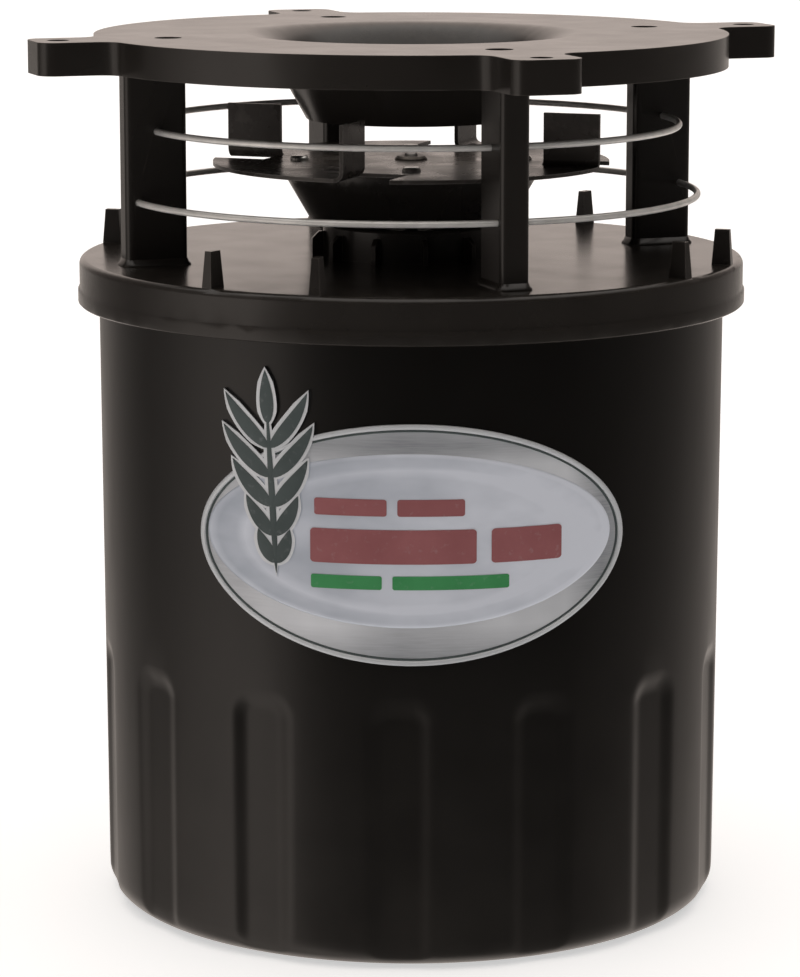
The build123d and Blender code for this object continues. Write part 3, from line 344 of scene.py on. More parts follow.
def printed_foil(name, low_tone, high_tone, streak=0.35):
    """Silver label foil: soft bands of tone up and across it, fine streaks and scuffs."""
    finish = Finish(name, metallic=0.25)
    split = finish.nodes.new("ShaderNodeSeparateXYZ")
    finish.links.new(finish.place, split.inputs["Vector"])
    middle = finish.math("SUBTRACT", split.outputs["Z"], BADGE_CENTRE_Z)
    rise = finish.math("MULTIPLY_ADD", middle, 0.5 / BADGE_HALF_HEIGHT, 0.5)
    across = finish.math("MULTIPLY_ADD", split.outputs["X"], 0.5 / BADGE_HALF_WIDTH, 0.5)
    tone = finish.math("MULTIPLY", finish.ramp(rise, SILVER_RISE), finish.ramp(across, SILVER_ACROSS))
    body = finish.mixed(tone, low_tone, high_tone)
    drawn = finish.noise(700.0, detail=4.0, stretch=(0.15, 0.15, 3.0))
    grain = finish.ramp(drawn, [(0.3, 0.0), (0.7, streak)])
    body = finish.mixed(grain, body, high_tone)
    clouds = finish.ramp(finish.noise(26.0, detail=3.0), [(0.35, 0.0), (0.65, 0.25)])
    body = finish.mixed(clouds, body, low_tone)
    finish.colour(body)
    return foil_surface(finish)


def pale_oval(middle, half_size):
    """The label's pale inner oval: bluish silver, lighter to the right, with soft arcs of painted highlight
    inside its edge.
    """
    finish = Finish("foil_light", metallic=0.2)
    split = finish.nodes.new("ShaderNodeSeparateXYZ")
    finish.links.new(finish.place, split.inputs["Vector"])
    across = finish.math("MULTIPLY", finish.math("SUBTRACT", split.outputs["X"], middle[0]), 1 / half_size[0])
    up = finish.math("MULTIPLY", finish.math("SUBTRACT", split.outputs["Z"], middle[1]), 1 / half_size[1])
    squared = finish.math("ADD", finish.math("MULTIPLY", across, across), finish.math("MULTIPLY", up, up))
    # The bright arcs inside the oval's edge are a painted highlight.
    arcs = [(0.0, 0.55), (0.52, 0.45), (0.66, 0.95), (0.74, 0.45), (0.90, 0.25), (0.975, 0.70), (1.0, 0.45)]
    side = finish.math("MULTIPLY_ADD", across, 0.35, 0.30)
    light = finish.math("ADD", finish.math("MULTIPLY", finish.ramp(squared, arcs), 0.55), side, clamp=True)
    clouds = finish.ramp(finish.noise(38.0, detail=3.0, stretch=(1.0, 1.0, 2.0)), [(0.3, 0.0), (0.7, 0.35)])
    light = finish.math("ADD", light, clouds, clamp=True)
    finish.colour(finish.mixed(light, (0.265, 0.305, 0.365), (0.72, 0.755, 0.84)))
    return foil_surface(finish)


def felt():
    finish = Finish("felt", specular=0.1)
    finish.shader.inputs["Sheen Weight"].default_value = 0.4
    fibres = finish.noise(900.0, detail=6.0)
    finish.colour(finish.ramp(fibres, [(0.3, (0.10, 0.095, 0.085)), (0.7, (0.22, 0.21, 0.19))]))
    finish.uneven_gloss(500.0, 0.88, 0.98)
    finish.bump(finish.noise(1600.0, detail=5.0), 0.0001)
    return finish.material


def circuit_green():
    """Solder mask with faint copper tracks under it."""
    finish = Finish("board_green", coat=0.3)
    tracks = finish.ramp(finish.cell_edges(260.0), [(0.05, 1.0), (0.09, 0.0)])
    finish.colour(finish.mixed(tracks, (0.012, 0.085, 0.030), (0.035, 0.17, 0.055)))
    finish.uneven_gloss(200.0, 0.25, 0.4)
    finish.bump(tracks, 0.00002, 0.5)
    return finish.material


def clear_window():
    finish = Finish("window_clear")
    finish.shader.inputs["Transmission Weight"].default_value = 0.9
    finish.shader.inputs["IOR"].default_value = 1.49
    finish.colour(finish.ramp(finish.noise(40.0), [(0.3, (0.93, 0.95, 0.95)), (0.7, (0.98, 0.99, 0.99))]))
    finish.gloss(finish.ramp(finish.noise(300.0, detail=6.0), [(0.4, 0.03), (0.8, 0.12)]))
    return finish.material


def make_materials():
    """One material for each of the record's slots, and one more for the canister's duller wall."""
    black, brown_black = (0.0022, 0.0018, 0.0015), (0.0036, 0.0030, 0.0025)
    head_dark, head_light = (0.0120, 0.0102, 0.0088), (0.0170, 0.0147, 0.0128)
    case_dark, case_light = (0.012, 0.012, 0.012), (0.022, 0.022, 0.022)
    axial = (1.0, 1.0, 8.0)
    return {
        "black_plastic": moulded_plastic(
            "black_plastic", head_dark, head_light, (0.195, 0.24), peel=0.00001, dust=0.16
        ),
        "canister_plastic": moulded_plastic(
            "canister_plastic",
            black,
            brown_black,
            (0.28, 0.35),
            peel=0.000014,
            grain=0.000004,
            foot_dust=0.14,
        ),
        "hub_plastic": moulded_plastic("hub_plastic", head_dark, head_light, (0.22, 0.32)),
        "control_plastic": moulded_plastic("control_plastic", case_dark, case_light, (0.45, 0.6)),
        "seal_rubber": soft_rubber("seal_rubber", (0.010, 0.010, 0.010)),
        "galvanised_wire": bright_wire(),
        "dark_screw_steel": plain_metal(
            "dark_screw_steel", (0.05, 0.045, 0.04), (0.11, 0.10, 0.09), (0.3, 0.5)
        ),
        "zinc_steel": plain_metal("zinc_steel", (0.50, 0.50, 0.49), (0.70, 0.70, 0.68), (0.22, 0.34)),
        "spinner_steel": spinner_paint(),
        "shaft_steel": plain_metal(
            "shaft_steel", (0.14, 0.135, 0.13), (0.24, 0.23, 0.22), (0.3, 0.45), axial
        ),
        "armature_copper": plain_metal(
            "armature_copper", (0.30, 0.10, 0.04), (0.55, 0.22, 0.09), (0.3, 0.45), axial
        ),
        "motor_steel": plain_metal("motor_steel", (0.40, 0.40, 0.40), (0.58, 0.58, 0.56), (0.25, 0.4), axial),
        "magnet_ferrite": plain_metal("magnet_ferrite", (0.04, 0.04, 0.04), (0.08, 0.08, 0.08), (0.5, 0.7)),
        "bronze": plain_metal("bronze", (0.36, 0.22, 0.08), (0.50, 0.33, 0.14), (0.4, 0.6), None, 900.0),
        "tinned_brass": plain_metal("tinned_brass", (0.52, 0.48, 0.36), (0.70, 0.66, 0.52), (0.2, 0.35)),
        "felt": felt(),
        "board_green": circuit_green(),
        "display_grey": gloss_plastic("display_grey", (0.22, 0.26, 0.19)),
        "window_clear": clear_window(),
        "switch_red": gloss_plastic("switch_red", (0.28, 0.012, 0.008)),
        "battery_jacket": gloss_plastic("battery_jacket", (0.035, 0.075, 0.040), (0.25, 0.4)),
        "lead_red": gloss_plastic("lead_red", (0.33, 0.010, 0.008), (0.35, 0.5)),
        "lead_black": gloss_plastic("lead_black", (0.010, 0.010, 0.010), (0.35, 0.5)),
        "button_grey": soft_rubber("button_grey", (0.17, 0.17, 0.17)),
        "button_green": soft_rubber("button_green", (0.02, 0.15, 0.05)),
        "badge_foil": printed_foil("badge_foil", (0.130, 0.142, 0.160), (0.78, 0.80, 0.84), 0.25),
        "badge_rim": printed_foil("badge_rim", (0.50, 0.52, 0.54), (0.70, 0.72, 0.75)),
        "foil_light": pale_oval(INNER_OVAL_MIDDLE, INNER_OVAL_SIZE),
        "print_red": printed_ink("print_red", (0.215, 0.060, 0.065), 0.15),
        "print_green": printed_ink("print_green", (0.020, 0.200, 0.055), 0.15),
        "print_grey": printed_ink("print_grey", (0.035, 0.050, 0.050), 0.15),
    }


MATERIAL_OF_NODE = {"canister": "canister_plastic", "shaft_clip": "dark_screw_steel"}


def finish_nodes(materials):
    """Gives every CAD node its slot's material."""
    slots = {part["node"]: part["material_slot"] for part in RECORD["subparts"]}
    for name, node in NODES.items():
        node.data.materials.clear()
        node.data.materials.append(materials[MATERIAL_OF_NODE.get(name, slots[name])])


# ================================================================ soft edges on the CAD nodes
EDGE_WIDTHS = {
    "head_lid": 0.35,
    "top_plate": 0.45,
    "post_right": 0.3,
    "post_rear": 0.3,
    "post_left": 0.3,
    "post_front": 0.3,
    "spinner_plate": 0.2,
    "spinner_hub": 0.3,
    "control_box": 0.3,
    "control_cover": 0.3,
    "battery_cradle": 0.3,
}
SHARP_ANGLE = math.radians(50)


def soften(node, width):
    """Welds the mesh's seams, rounds its sharp edges and shades it smoothly between them."""
    weld = node.modifiers.new("weld", "WELD")
    weld.merge_threshold = 0.00001
    if width:
        bevel = node.modifiers.new("bevel", "BEVEL")
        bevel.width = width * MM
        bevel.segments = 2
        bevel.limit_method = "ANGLE"
        bevel.angle_limit = SHARP_ANGLE
        normals = node.modifiers.new("normals", "WEIGHTED_NORMAL")
        normals.weight = 80


# ================================================================ mesh pieces
def add_piece(name, points, faces, material, body, replaced=()):
    """A smooth-shaded mesh piece that rides on a body."""
    mesh = bpy.data.meshes.new(name)
    mesh.from_pydata(points, [], faces)
    work = bmesh.new()
    work.from_mesh(mesh)
    bmesh.ops.recalc_face_normals(work, faces=work.faces)
    work.to_mesh(mesh)
    work.free()
    for polygon in mesh.polygons:
        polygon.use_smooth = True
    mesh.materials.append(material)
    piece = bpy.data.objects.new(name, mesh)
    bpy.context.scene.collection.objects.link(piece)
    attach(piece, body)
    for node in replaced:
        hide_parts(node)
    return piece


def band(low, high, count):
    """The faces between two closed rings of points, each given by its first point."""
    return [(low + k, low + (k + 1) % count, high + (k + 1) % count, high + k) for k in range(count)]


def fan(start, count, centre):
    """The faces that close a ring of points round a middle point."""
    return [(start + k, start + (k + 1) % count, centre) for k in range(count)]


def sharpen(piece, angle):
    """Marks the piece's sharp edges so that smooth shading stops at them."""
    work = bmesh.new()
    work.from_mesh(piece.data)
    for edge in work.edges:
        edge.smooth = edge.calc_face_angle(0.0) < math.radians(angle)
    work.to_mesh(piece.data)
    work.free()


# ---------------------------------------------------------------- canister
FLUTE_COUNT = 14
FLUTE_FIRST_ANGLE = math.radians(-92.0)
FLUTE_FLOOR_RADIUS = 93.4 * MM
FLUTE_FLOOR_HALF_WIDTH = 6.3 * MM
FLUTE_FLOOR_TOP = 76.9 * MM
FLUTE_FLOOR_CORNER = 3.9 * MM
FLUTE_SIDE_RUN = 1.73
FLUTE_BLEND = 1.8 * MM
FLUTE_COLUMNS = (0, 2.0, 3.4, 4.4, 5.2, 6.0, 6.8, 7.6, 8.4, 9.2, 10.1, 11.4, 13.5, 17.0)
FOOT_FILLET = 8.0 * MM
RECESS_RADIUS = 78.0 * MM
RECESS_DEPTH = 0.8 * MM
WALL = 4.2 * MM
FLOOR_Z = 3.4 * MM
INNER_FILLET = 5.4 * MM
RIM_WALL = 3.55 * MM
FILLET_STEPS = 12
INNER_FILLET_STEPS = 6
FLUTED_HEIGHT = 90 * MM
WALL_TOP = 193.6


def soft_low(first, second, blend):
    """The lower of two lengths, rounded over where they are nearly equal."""
    near = max(blend - abs(first - second), 0.0) / blend
    return min(first, second) - near * near * blend / 4


def flute_surface(offset, height):
    """Distance from the axis of a flute's floor and sloped sides, at an angle from its middle."""
    across = abs(FLUTE_FLOOR_RADIUS * math.tan(offset)) - FLUTE_FLOOR_HALF_WIDTH + FLUTE_FLOOR_CORNER
    above = height - FLUTE_FLOOR_TOP + FLUTE_FLOOR_CORNER
    outside = math.hypot(max(across, 0.0), max(above, 0.0)) + min(max(across, above), 0.0)
    outside -= FLUTE_FLOOR_CORNER
    rise = -soft_low(0.0, -outside, FLUTE_BLEND) / FLUTE_SIDE_RUN
    return (FLUTE_FLOOR_RADIUS + rise) / math.cos(offset)


def canister_columns():
    """Angles of the mesh's columns, close together at the flutes' sides."""
    pitch = 2 * math.pi / FLUTE_COUNT
    half = [math.atan(column * MM / FLUTE_FLOOR_RADIUS) for column in FLUTE_COLUMNS]
    offsets = [-angle for angle in reversed(half[1:])] + half + [pitch / 2]
    middles = [FLUTE_FIRST_ANGLE + number * pitch for number in range(FLUTE_COUNT)]
    return [(middle + offset, offset) for middle in middles for offset in offsets]


def canister_profile():
    """The canister's section as (radius, height) points, from under its middle round to inside."""
    foot_r = FOOT_RADIUS - FOOT_FILLET
    profile = [(RECESS_RADIUS * 0.5, RECESS_DEPTH), (RECESS_RADIUS - 0.4 * MM, RECESS_DEPTH)]
    profile += [(RECESS_RADIUS, RECESS_DEPTH / 2), (RECESS_RADIUS + 0.4 * MM, 0.0), (foot_r - 3 * MM, 0.0)]
    for step in range(FILLET_STEPS + 1):
        turn = math.radians(90 * step / FILLET_STEPS)
        profile.append((foot_r + FOOT_FILLET * math.sin(turn), FOOT_FILLET * (1 - math.cos(turn))))
    heights = [11 + 6.0 * step for step in range(10)] + [68 + 0.9 * step for step in range(17)]
    heights += [90, 105, 125, 145, 165, 180, 190, WALL_TOP]
    profile += [(wall_radius(height * MM), height * MM) for height in heights]
    inner_r = TOP_RADIUS - RIM_WALL
    profile += [(TOP_RADIUS - 0.15 * MM, CANISTER_TOP - 0.15 * MM), (TOP_RADIUS - 0.5 * MM, CANISTER_TOP)]
    profile += [(inner_r + 0.4 * MM, CANISTER_TOP), (inner_r, CANISTER_TOP - 0.4 * MM)]
    floor_r = FOOT_RADIUS - WALL - 0.3 * MM
    for step in range(INNER_FILLET_STEPS + 1):
        turn = math.radians(90 * step / INNER_FILLET_STEPS)
        profile.append(
            (floor_r - INNER_FILLET * (1 - math.cos(turn)), FLOOR_Z + INNER_FILLET * (1 - math.sin(turn)))
        )
    return profile + [(45 * MM, FLOOR_Z)]


def build_canister():
    """The fluted canister with softly rounded flutes."""
    columns, profile = canister_columns(), canister_profile()
    outside_rows = profile.index((wall_radius(WALL_TOP * MM), WALL_TOP * MM))
    points = []
    for row, (radius, height) in enumerate(profile):
        for angle, offset in columns:
            reach = radius
            if row <= outside_rows and height < FLUTED_HEIGHT:
                reach = soft_low(radius, flute_surface(offset, height), FLUTE_BLEND)
            points.append((reach * math.cos(angle), reach * math.sin(angle), height))
    count = len(columns)
    faces = []
    for row in range(len(profile) - 1):
        faces += band(row * count, (row + 1) * count, count)
    for row, height in ((0, RECESS_DEPTH), (len(profile) - 1, FLOOR_Z)):
        centre = len(points)
        points.append((0.0, 0.0, height))
        faces += fan(row * count, count, centre)
    shell = materials["canister_plastic"]
    piece = add_piece("canister_shell", points, faces, shell, "canister", ["canister"])
    sharpen(piece, 60)


LUG_COUNT = 4
LUG_FIRST_ANGLE = math.radians(64.0)
LUG_HALF_ANGLE = math.radians(6.0)
LUG_Z = (188.6 * MM, 191.0 * MM)


def build_lock_lugs():
    """The four twist-lock lugs near the canister's rim."""
    inner = TOP_RADIUS - 1 * MM
    outer = widest("canister", LUG_Z[0] - MM, LUG_Z[1] + MM)
    points, faces = [], []
    steps = 8
    section = ((inner, LUG_Z[0]), (outer, LUG_Z[0]), (outer, LUG_Z[1]), (inner, LUG_Z[1]))
    for lug in range(LUG_COUNT):
        middle = LUG_FIRST_ANGLE + lug * 2 * math.pi / LUG_COUNT
        start = len(points)
        for step in range(steps + 1):
            angle = middle + LUG_HALF_ANGLE * (2 * step / steps - 1)
            for radius, height in section:
                points.append((radius * math.cos(angle), radius * math.sin(angle), height))
        for step in range(steps):
            ring = start + 4 * step
            faces += band(ring, ring + 4, 4)
        last = start + 4 * steps
        faces += [(start, start + 1, start + 2, start + 3), (last, last + 1, last + 2, last + 3)]
    piece = add_piece("lock_lugs", points, faces, materials["canister_plastic"], "canister")
    bevel = piece.modifiers.new("bevel", "BEVEL")
    bevel.width = 0.3 * MM
    bevel.segments = 2
    bevel.limit_method = "ANGLE"
    bevel.angle_limit = SHARP_ANGLE


# ---------------------------------------------------------------- post feet
POSTS = ("post_right", "post_rear", "post_left", "post_front")
POST_HALF_LENGTH = 9.5 * MM
POST_HALF_THICKNESS = 4.4 * MM
POST_CORNER = 2.2 * MM
POST_MIDDLE_RADIUS = 81.5 * MM
CORNER_STEPS = 6
# A foot's section, as (spread beyond the post's side, height above the deck).
FOOT_SECTION = (
    (-0.3 * MM, 0.02 * MM),
    (1.2 * MM, 0.02 * MM),
    (1.2 * MM, 0.35 * MM),
    (0.55 * MM, 1.0 * MM),
    (0.15 * MM, 2.0 * MM),
    (-0.3 * MM, 2.2 * MM),
)


def rounded_outline(half_length, half_width, corner):
    """Points round a rectangle with round corners."""
    outline = []
    for quarter, (along, across) in enumerate(((1, 1), (-1, 1), (-1, -1), (1, -1))):
        for step in range(CORNER_STEPS + 1):
            turn = math.radians(90 * (quarter + step / CORNER_STEPS))
            x = along * (half_length - corner) + corner * math.cos(turn)
            y = across * (half_width - corner) + corner * math.sin(turn)
            outline.append((x, y))
    return outline


def build_post_feet():
    """The small flare round each post where it stands on the lid."""
    points, faces = [], []
    for post in POSTS:
        low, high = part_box(post)
        angle = math.atan2(low.y + high.y, low.x + high.x)
        start = len(points)
        for spread, rise in FOOT_SECTION:
            sizes = (POST_HALF_LENGTH + spread, POST_HALF_THICKNESS + spread, POST_CORNER + spread)
            ring = rounded_outline(*sizes)
            for x, y in ring:
                along = POST_MIDDLE_RADIUS + x
                east = along * math.cos(angle) - y * math.sin(angle)
                north = along * math.sin(angle) + y * math.cos(angle)
                points.append((east, north, low.z + rise))
        count = len(ring)
        for level in range(len(FOOT_SECTION)):
            above = start + (level + 1) % len(FOOT_SECTION) * count
            faces += band(start + level * count, above, count)
    piece = add_piece("post_feet", points, faces, materials["black_plastic"], "head")
    sharpen(piece, 50)


# ---------------------------------------------------------------- badge
def on_wall(across, height, rise):
    """A point on the canister's front, given its X, its Z and its height off the wall."""
    radius = wall_radius(height) + rise
    return (across, -math.sqrt(radius * radius - across * across), height)


OVAL_SEGMENTS = 180
FRONT_SHARES = (0.86, 0.72, 0.58, 0.44, 0.30, 0.16, 0.05)
BACK_SHARES = (0.05, 0.3, 0.6, 0.86)


def oval_plate(name, middle, half_size, edge, material, replaced=()):
    """A curved oval plate. Its edge is (inset, rise) pairs from its rim inwards."""
    half_width, half_height = half_size
    inset, top = edge[-1]
    rings = [(half_width - depth, half_height - depth, rise) for depth, rise in edge]
    for share in FRONT_SHARES:
        rings.append(((half_width - inset) * share, (half_height - inset) * share, top))
    back = edge[0][1]
    for share in BACK_SHARES:
        rings.append((half_width * share, half_height * share, back))
    points, faces = [], []
    for ring_width, ring_height, rise in rings:
        for number in range(OVAL_SEGMENTS):
            turn = 2 * math.pi * number / OVAL_SEGMENTS
            across = middle[0] + ring_width * math.cos(turn)
            points.append(on_wall(across, middle[1] + ring_height * math.sin(turn), rise))
    front = len(edge) + len(FRONT_SHARES)
    count = len(rings)
    for ring in range(count):
        after = (ring + 1) % count
        if ring != front - 1:
            faces += band(ring * OVAL_SEGMENTS, after * OVAL_SEGMENTS, OVAL_SEGMENTS)
    for ring, rise in ((front - 1, top), (front, back)):
        centre = len(points)
        points.append(on_wall(middle[0], middle[1], rise))
        faces += fan(ring * OVAL_SEGMENTS, OVAL_SEGMENTS, centre)
    return add_piece(name, points, faces, material, "canister", replaced)


def oval_ring(name, middle, half_size, section, material):
    """A closed oval bead. Its section is (inset, rise) pairs in order round it."""
    points, faces = [], []
    for depth, rise in section:
        for number in range(OVAL_SEGMENTS):
            turn = 2 * math.pi * number / OVAL_SEGMENTS
            across = middle[0] + (half_size[0] - depth) * math.cos(turn)
            points.append(on_wall(across, middle[1] + (half_size[1] - depth) * math.sin(turn), rise))
    for ring in range(len(section)):
        after = (ring + 1) % len(section)
        faces += band(ring * OVAL_SEGMENTS, after * OVAL_SEGMENTS, OVAL_SEGMENTS)
    return add_piece(name, points, faces, material, "canister")


def ribbons(name, strips, back, front, crown, material, slot):
    """Thin strips on the canister's front. A strip is a list of left and right edge points."""
    points, faces = [], []
    for strip in strips:
        start = len(points)
        for (left_x, left_z), (right_x, right_z) in strip:
            middle = ((left_x + right_x) / 2, (left_z + right_z) / 2)
            points.append(on_wall(left_x, left_z, back))
            points.append(on_wall(left_x, left_z, front))
            points.append(on_wall(*middle, front + crown))
            points.append(on_wall(right_x, right_z, front))
            points.append(on_wall(right_x, right_z, back))
            points.append(on_wall(*middle, back))
        for station in range(len(strip) - 1):
            ring = start + 6 * station
            faces += band(ring, ring + 6, 6)
        last = start + 6 * (len(strip) - 1)
        faces += [tuple(start + k for k in range(6)), tuple(last + k for k in range(6))]
    piece = add_piece(name, points, faces, material, "canister")
    sharpen(piece, 50)
    return piece


def bar(left, right, middle_z, height, corner):
    """A round-cornered bar's stations, with all sizes in millimetres from the badge's centre."""
    stations = []
    length = right - left
    steps = max(4, int(length / 1.6))
    places = [corner * share for share in (0.04, 0.15, 0.35, 0.65)]
    places += [corner + (length - 2 * corner) * step / steps for step in range(steps + 1)]
    places += [length - place for place in reversed(places[:4])]
    for place in places:
        end_distance = min(place, length - place)
        cut = max(corner - end_distance, 0.0)
        half = height / 2 - (corner - math.sqrt(corner * corner - cut * cut))
        across = (left + place) * MM
        low, high = BADGE_CENTRE_Z + (middle_z - half) * MM, BADGE_CENTRE_Z + (middle_z + half) * MM
        stations.append(((across, low), (across, high)))
    return stations


def leaf(base_x, base_z, lean, length, width, bend=0.0, margin=0.0):
    """A leaf's stations, in millimetres from the badge's centre. It leans from upright, in degrees."""
    stations = []
    steps = 16
    x, z = base_x, base_z
    angle = math.radians(lean)
    x -= margin * math.sin(angle)
    z -= margin * math.cos(angle)
    stride = (length + 2 * margin) / steps
    for step in range(steps + 1):
        share = step / steps
        half = (width / 2) * math.sin(math.pi * share**0.75) ** 0.8 if 0 < share < 1 else 0.0
        half = max(half, 0.03) + margin * min(1.0, 4 * share, 4 * (1 - share))
        across, up = math.cos(angle), -math.sin(angle)
        stations.append(
            (
                ((x - half * across) * MM, BADGE_CENTRE_Z + (z - half * up) * MM),
                ((x + half * across) * MM, BADGE_CENTRE_Z + (z + half * up) * MM),
            )
        )
        x += stride * math.sin(angle)
        z += stride * math.cos(angle)
        angle += math.radians(bend) / steps
    return stations


# The badge's sprig: where it stands, in millimetres from the badge's centre, and its leaf pairs by
# height above its foot, lean, length and width.
SPRIG_FOOT = (-39.0, -9.5)
SPRIG_LEAN = -3.0
SPRIG_HEIGHT = 50.0
LEAF_PAIRS = [
    (3.0, 36.0, 11.0, 4.0),
    (11.0, 44.0, 14.0, 4.2),
    (19.5, 50.0, 17.5, 4.4),
    (28.0, 52.0, 20.0, 4.3),
    (36.5, 48.0, 20.0, 4.0),
]
LEAF_BEND = 24.0
TIP_LEAF = (43.5, 0.0, 15.5, 4.0)
STEM_WIDTH = 1.9
SPRIG_MARGIN = 0.95


def sprig(margin=0.0):
    """The strips of a leafy sprig: a stem, leaf pairs and a tip leaf, widened by a margin."""
    foot_x, foot_z = SPRIG_FOOT
    lean = math.radians(SPRIG_LEAN)
    strips = [leaf(foot_x, foot_z, SPRIG_LEAN, SPRIG_HEIGHT, STEM_WIDTH, margin=margin)]
    for rise, spread, length, width in LEAF_PAIRS:
        x, z = foot_x + rise * math.sin(lean), foot_z + rise * math.cos(lean)
        for side in (-1, 1):
            strips.append(leaf(x, z, SPRIG_LEAN + side * spread, length, width, -side * LEAF_BEND, margin))
    rise, spread, length, width = TIP_LEAF
    x, z = foot_x + rise * math.sin(lean), foot_z + rise * math.cos(lean)
    strips.append(leaf(x, z, SPRIG_LEAN + spread, length, width, 0.0, margin))
    return strips


def build_badge():
    """The oval badge: foil plate, bright rim, pale inner oval, plain bars and a leafy sprig."""
    middle = (0.0, BADGE_CENTRE_Z)
    full = (BADGE_HALF_WIDTH, BADGE_HALF_HEIGHT)
    edge = [(0.15 * MM, 0.05 * MM), (0.15 * MM, 0.5 * MM), (1.0 * MM, 0.62 * MM), (3.5 * MM, 0.65 * MM)]
    oval_plate("badge_plate", middle, full, edge, materials["badge_foil"], ["badge"])
    rim = [(0.0, 0.1 * MM), (0.0, 0.7 * MM), (0.35 * MM, 0.98 * MM), (0.75 * MM, 1.05 * MM)]
    rim += [(1.15 * MM, 0.98 * MM), (1.5 * MM, 0.7 * MM), (1.5 * MM, 0.1 * MM)]
    oval_ring("badge_rim", middle, full, rim, materials["badge_rim"])
    # A dark ring just inside the rim bead.
    line = [(1.6 * MM, 0.5 * MM), (1.6 * MM, 0.72 * MM), (2.2 * MM, 0.72 * MM), (2.2 * MM, 0.5 * MM)]
    oval_ring("badge_line", middle, full, line, materials["print_grey"])
    inner = [(0.0, 0.55 * MM), (0.0, 0.68 * MM), (0.6 * MM, 0.76 * MM), (2.6 * MM, 0.80 * MM)]
    pale = materials["foil_light"]
    oval_plate("badge_inner", INNER_OVAL_MIDDLE, INNER_OVAL_SIZE, inner, pale)

    # Each print layer is its back, its front and the crown of its middle, off the wall.
    layers = (0.70 * MM, 0.92 * MM, 0.05 * MM)
    red = [bar(-28.0, -7.2, 11.0, 4.9, 0.8), bar(-4.2, 15.2, 11.0, 4.9, 0.8)]
    red += [bar(-29.2, 18.6, -0.4, 10.0, 1.2), bar(22.8, 43.2, -0.4, 10.0, 1.2)]
    ribbons("badge_red_bars", red, *layers, materials["print_red"], "print_red")
    green = [bar(-29.0, -8.6, -10.9, 4.0, 0.7), bar(-5.6, 28.0, -10.9, 4.0, 0.7)]
    ribbons("badge_green_bars", green, *layers, materials["print_green"], "print_green")

    outline_layers = (0.02 * MM, 1.12 * MM, 0.02 * MM)
    outline = sprig(SPRIG_MARGIN)
    ribbons("badge_sprig_outline", outline, *outline_layers, materials["badge_rim"], "badge_foil")
    sprig_layers = (0.6 * MM, 1.25 * MM, 0.12 * MM)
    ribbons("badge_sprig", sprig(), *sprig_layers, materials["print_grey"], "print_grey")


# ---------------------------------------------------------------- battery springs
SPRING_TURNS = 4
SPRING_WIRE = 0.55 * MM
POINTS_PER_TURN = 16


def build_spring(node):
    """A conical coil of wire where a battery terminal is."""
    low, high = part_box(node)
    middle = (low + high) / 2
    wide = (high.x - low.x) / 2 - SPRING_WIRE
    total = SPRING_TURNS * POINTS_PER_TURN
    curve = bpy.data.curves.new(node + "_coil", "CURVE")
    curve.dimensions = "3D"
    curve.bevel_depth = SPRING_WIRE
    curve.bevel_resolution = 4
    curve.use_fill_caps = True
    spline = curve.splines.new("NURBS")
    spline.points.add(total)
    for number in range(total + 1):
        share = number / total
        turn = 2 * math.pi * SPRING_TURNS * share
        radius = wide * (1 - 0.5 * share)
        height = low.z + SPRING_WIRE + (high.z - low.z - 2 * SPRING_WIRE) * share
        spline.points[number].co = (
            middle.x + radius * math.cos(turn),
            middle.y + radius * math.sin(turn),
            height,
            1.0,
        )
    spline.order_u = 3
    spline.use_endpoint_u = True
    curve.materials.append(materials["tinned_brass"])
    piece = bpy.data.objects.new(node + "_coil", curve)
    bpy.context.scene.collection.objects.link(piece)
    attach(piece, "head")
    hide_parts(node)


# ================================================================ stage
FLOOR_GLOW = 0.55
FLOOR_HALF_SIZE = 14.0
FLOOR_DROP = 0.0004


def stage_material():
    finish = Finish("pale_floor", roughness=0.8, specular=0.1)
    finish.colour(finish.ramp(finish.noise(2.0), [(0.3, (0.90, 0.90, 0.90)), (0.7, (0.92, 0.92, 0.92))]))
    finish.shader.inputs["Emission Color"].default_value = (1.0, 1.0, 1.0, 1.0)
    finish.shader.inputs["Emission Strength"].default_value = FLOOR_GLOW
    return finish.material


def build_floor():
    """A large pale floor, a hair under the object."""
    mesh = bpy.data.meshes.new("floor")
    work = bmesh.new()
    bmesh.ops.create_grid(work, x_segments=8, y_segments=8, size=FLOOR_HALF_SIZE)
    work.to_mesh(mesh)
    work.free()
    floor = bpy.data.objects.new("floor", mesh)
    floor.location = (0, 0, -FLOOR_DROP)
    floor.visible_glossy = False
    bpy.context.scene.collection.objects.link(floor)
    mesh.materials.append(stage_material())


# Brightness of the surroundings by bearing, in degrees from the camera's side to the object's right.
FLOOR_SURROUNDINGS = [
    (-180, 1.0),
    (-150, 0.90),
    (-122, 0.45),
    (-98, 0.50),
    (-75, 0.85),
    (-55, 0.95),
    (-40, 0.30),
    (-22, 0.15),
    (0, 0.13),
    (60, 0.15),
    (90, 0.30),
    (110, 0.50),
    (130, 0.80),
    (150, 0.95),
    (180, 1.0),
]
LOW_SURROUNDINGS = [
    (-180, 0.85),
    (-155, 0.48),
    (-130, 0.20),
    (-108, 0.12),
    (-96, 0.30),
    (-78, 0.76),
    (-55, 0.98),
    (-44, 0.34),
    (-32, 0.08),
    (0, 0.035),
    (60, 0.035),
    (100, 0.10),
    (125, 0.19),
    (150, 0.40),
    (180, 0.85),
]
HIGH_SURROUNDINGS = [
    (-180, 0.84),
    (-160, 0.80),
    (-146, 0.24),
    (-125, 0.12),
    (-104, 0.10),
    (-75, 0.26),
    (-55, 0.32),
    (-40, 0.08),
    (0, 0.02),
    (60, 0.02),
    (100, 0.07),
    (125, 0.12),
    (146, 0.24),
    (160, 0.80),
    (180, 0.84),
]
OVERHEAD_STRENGTH = 1.15
OVERHEAD_TINT = (1.0, 0.94, 0.89)
BACKDROP = (1.0, 1.0, 1.0, 1.0)
HIGH_TINT = (1.0, 0.86, 0.78, 1.0)
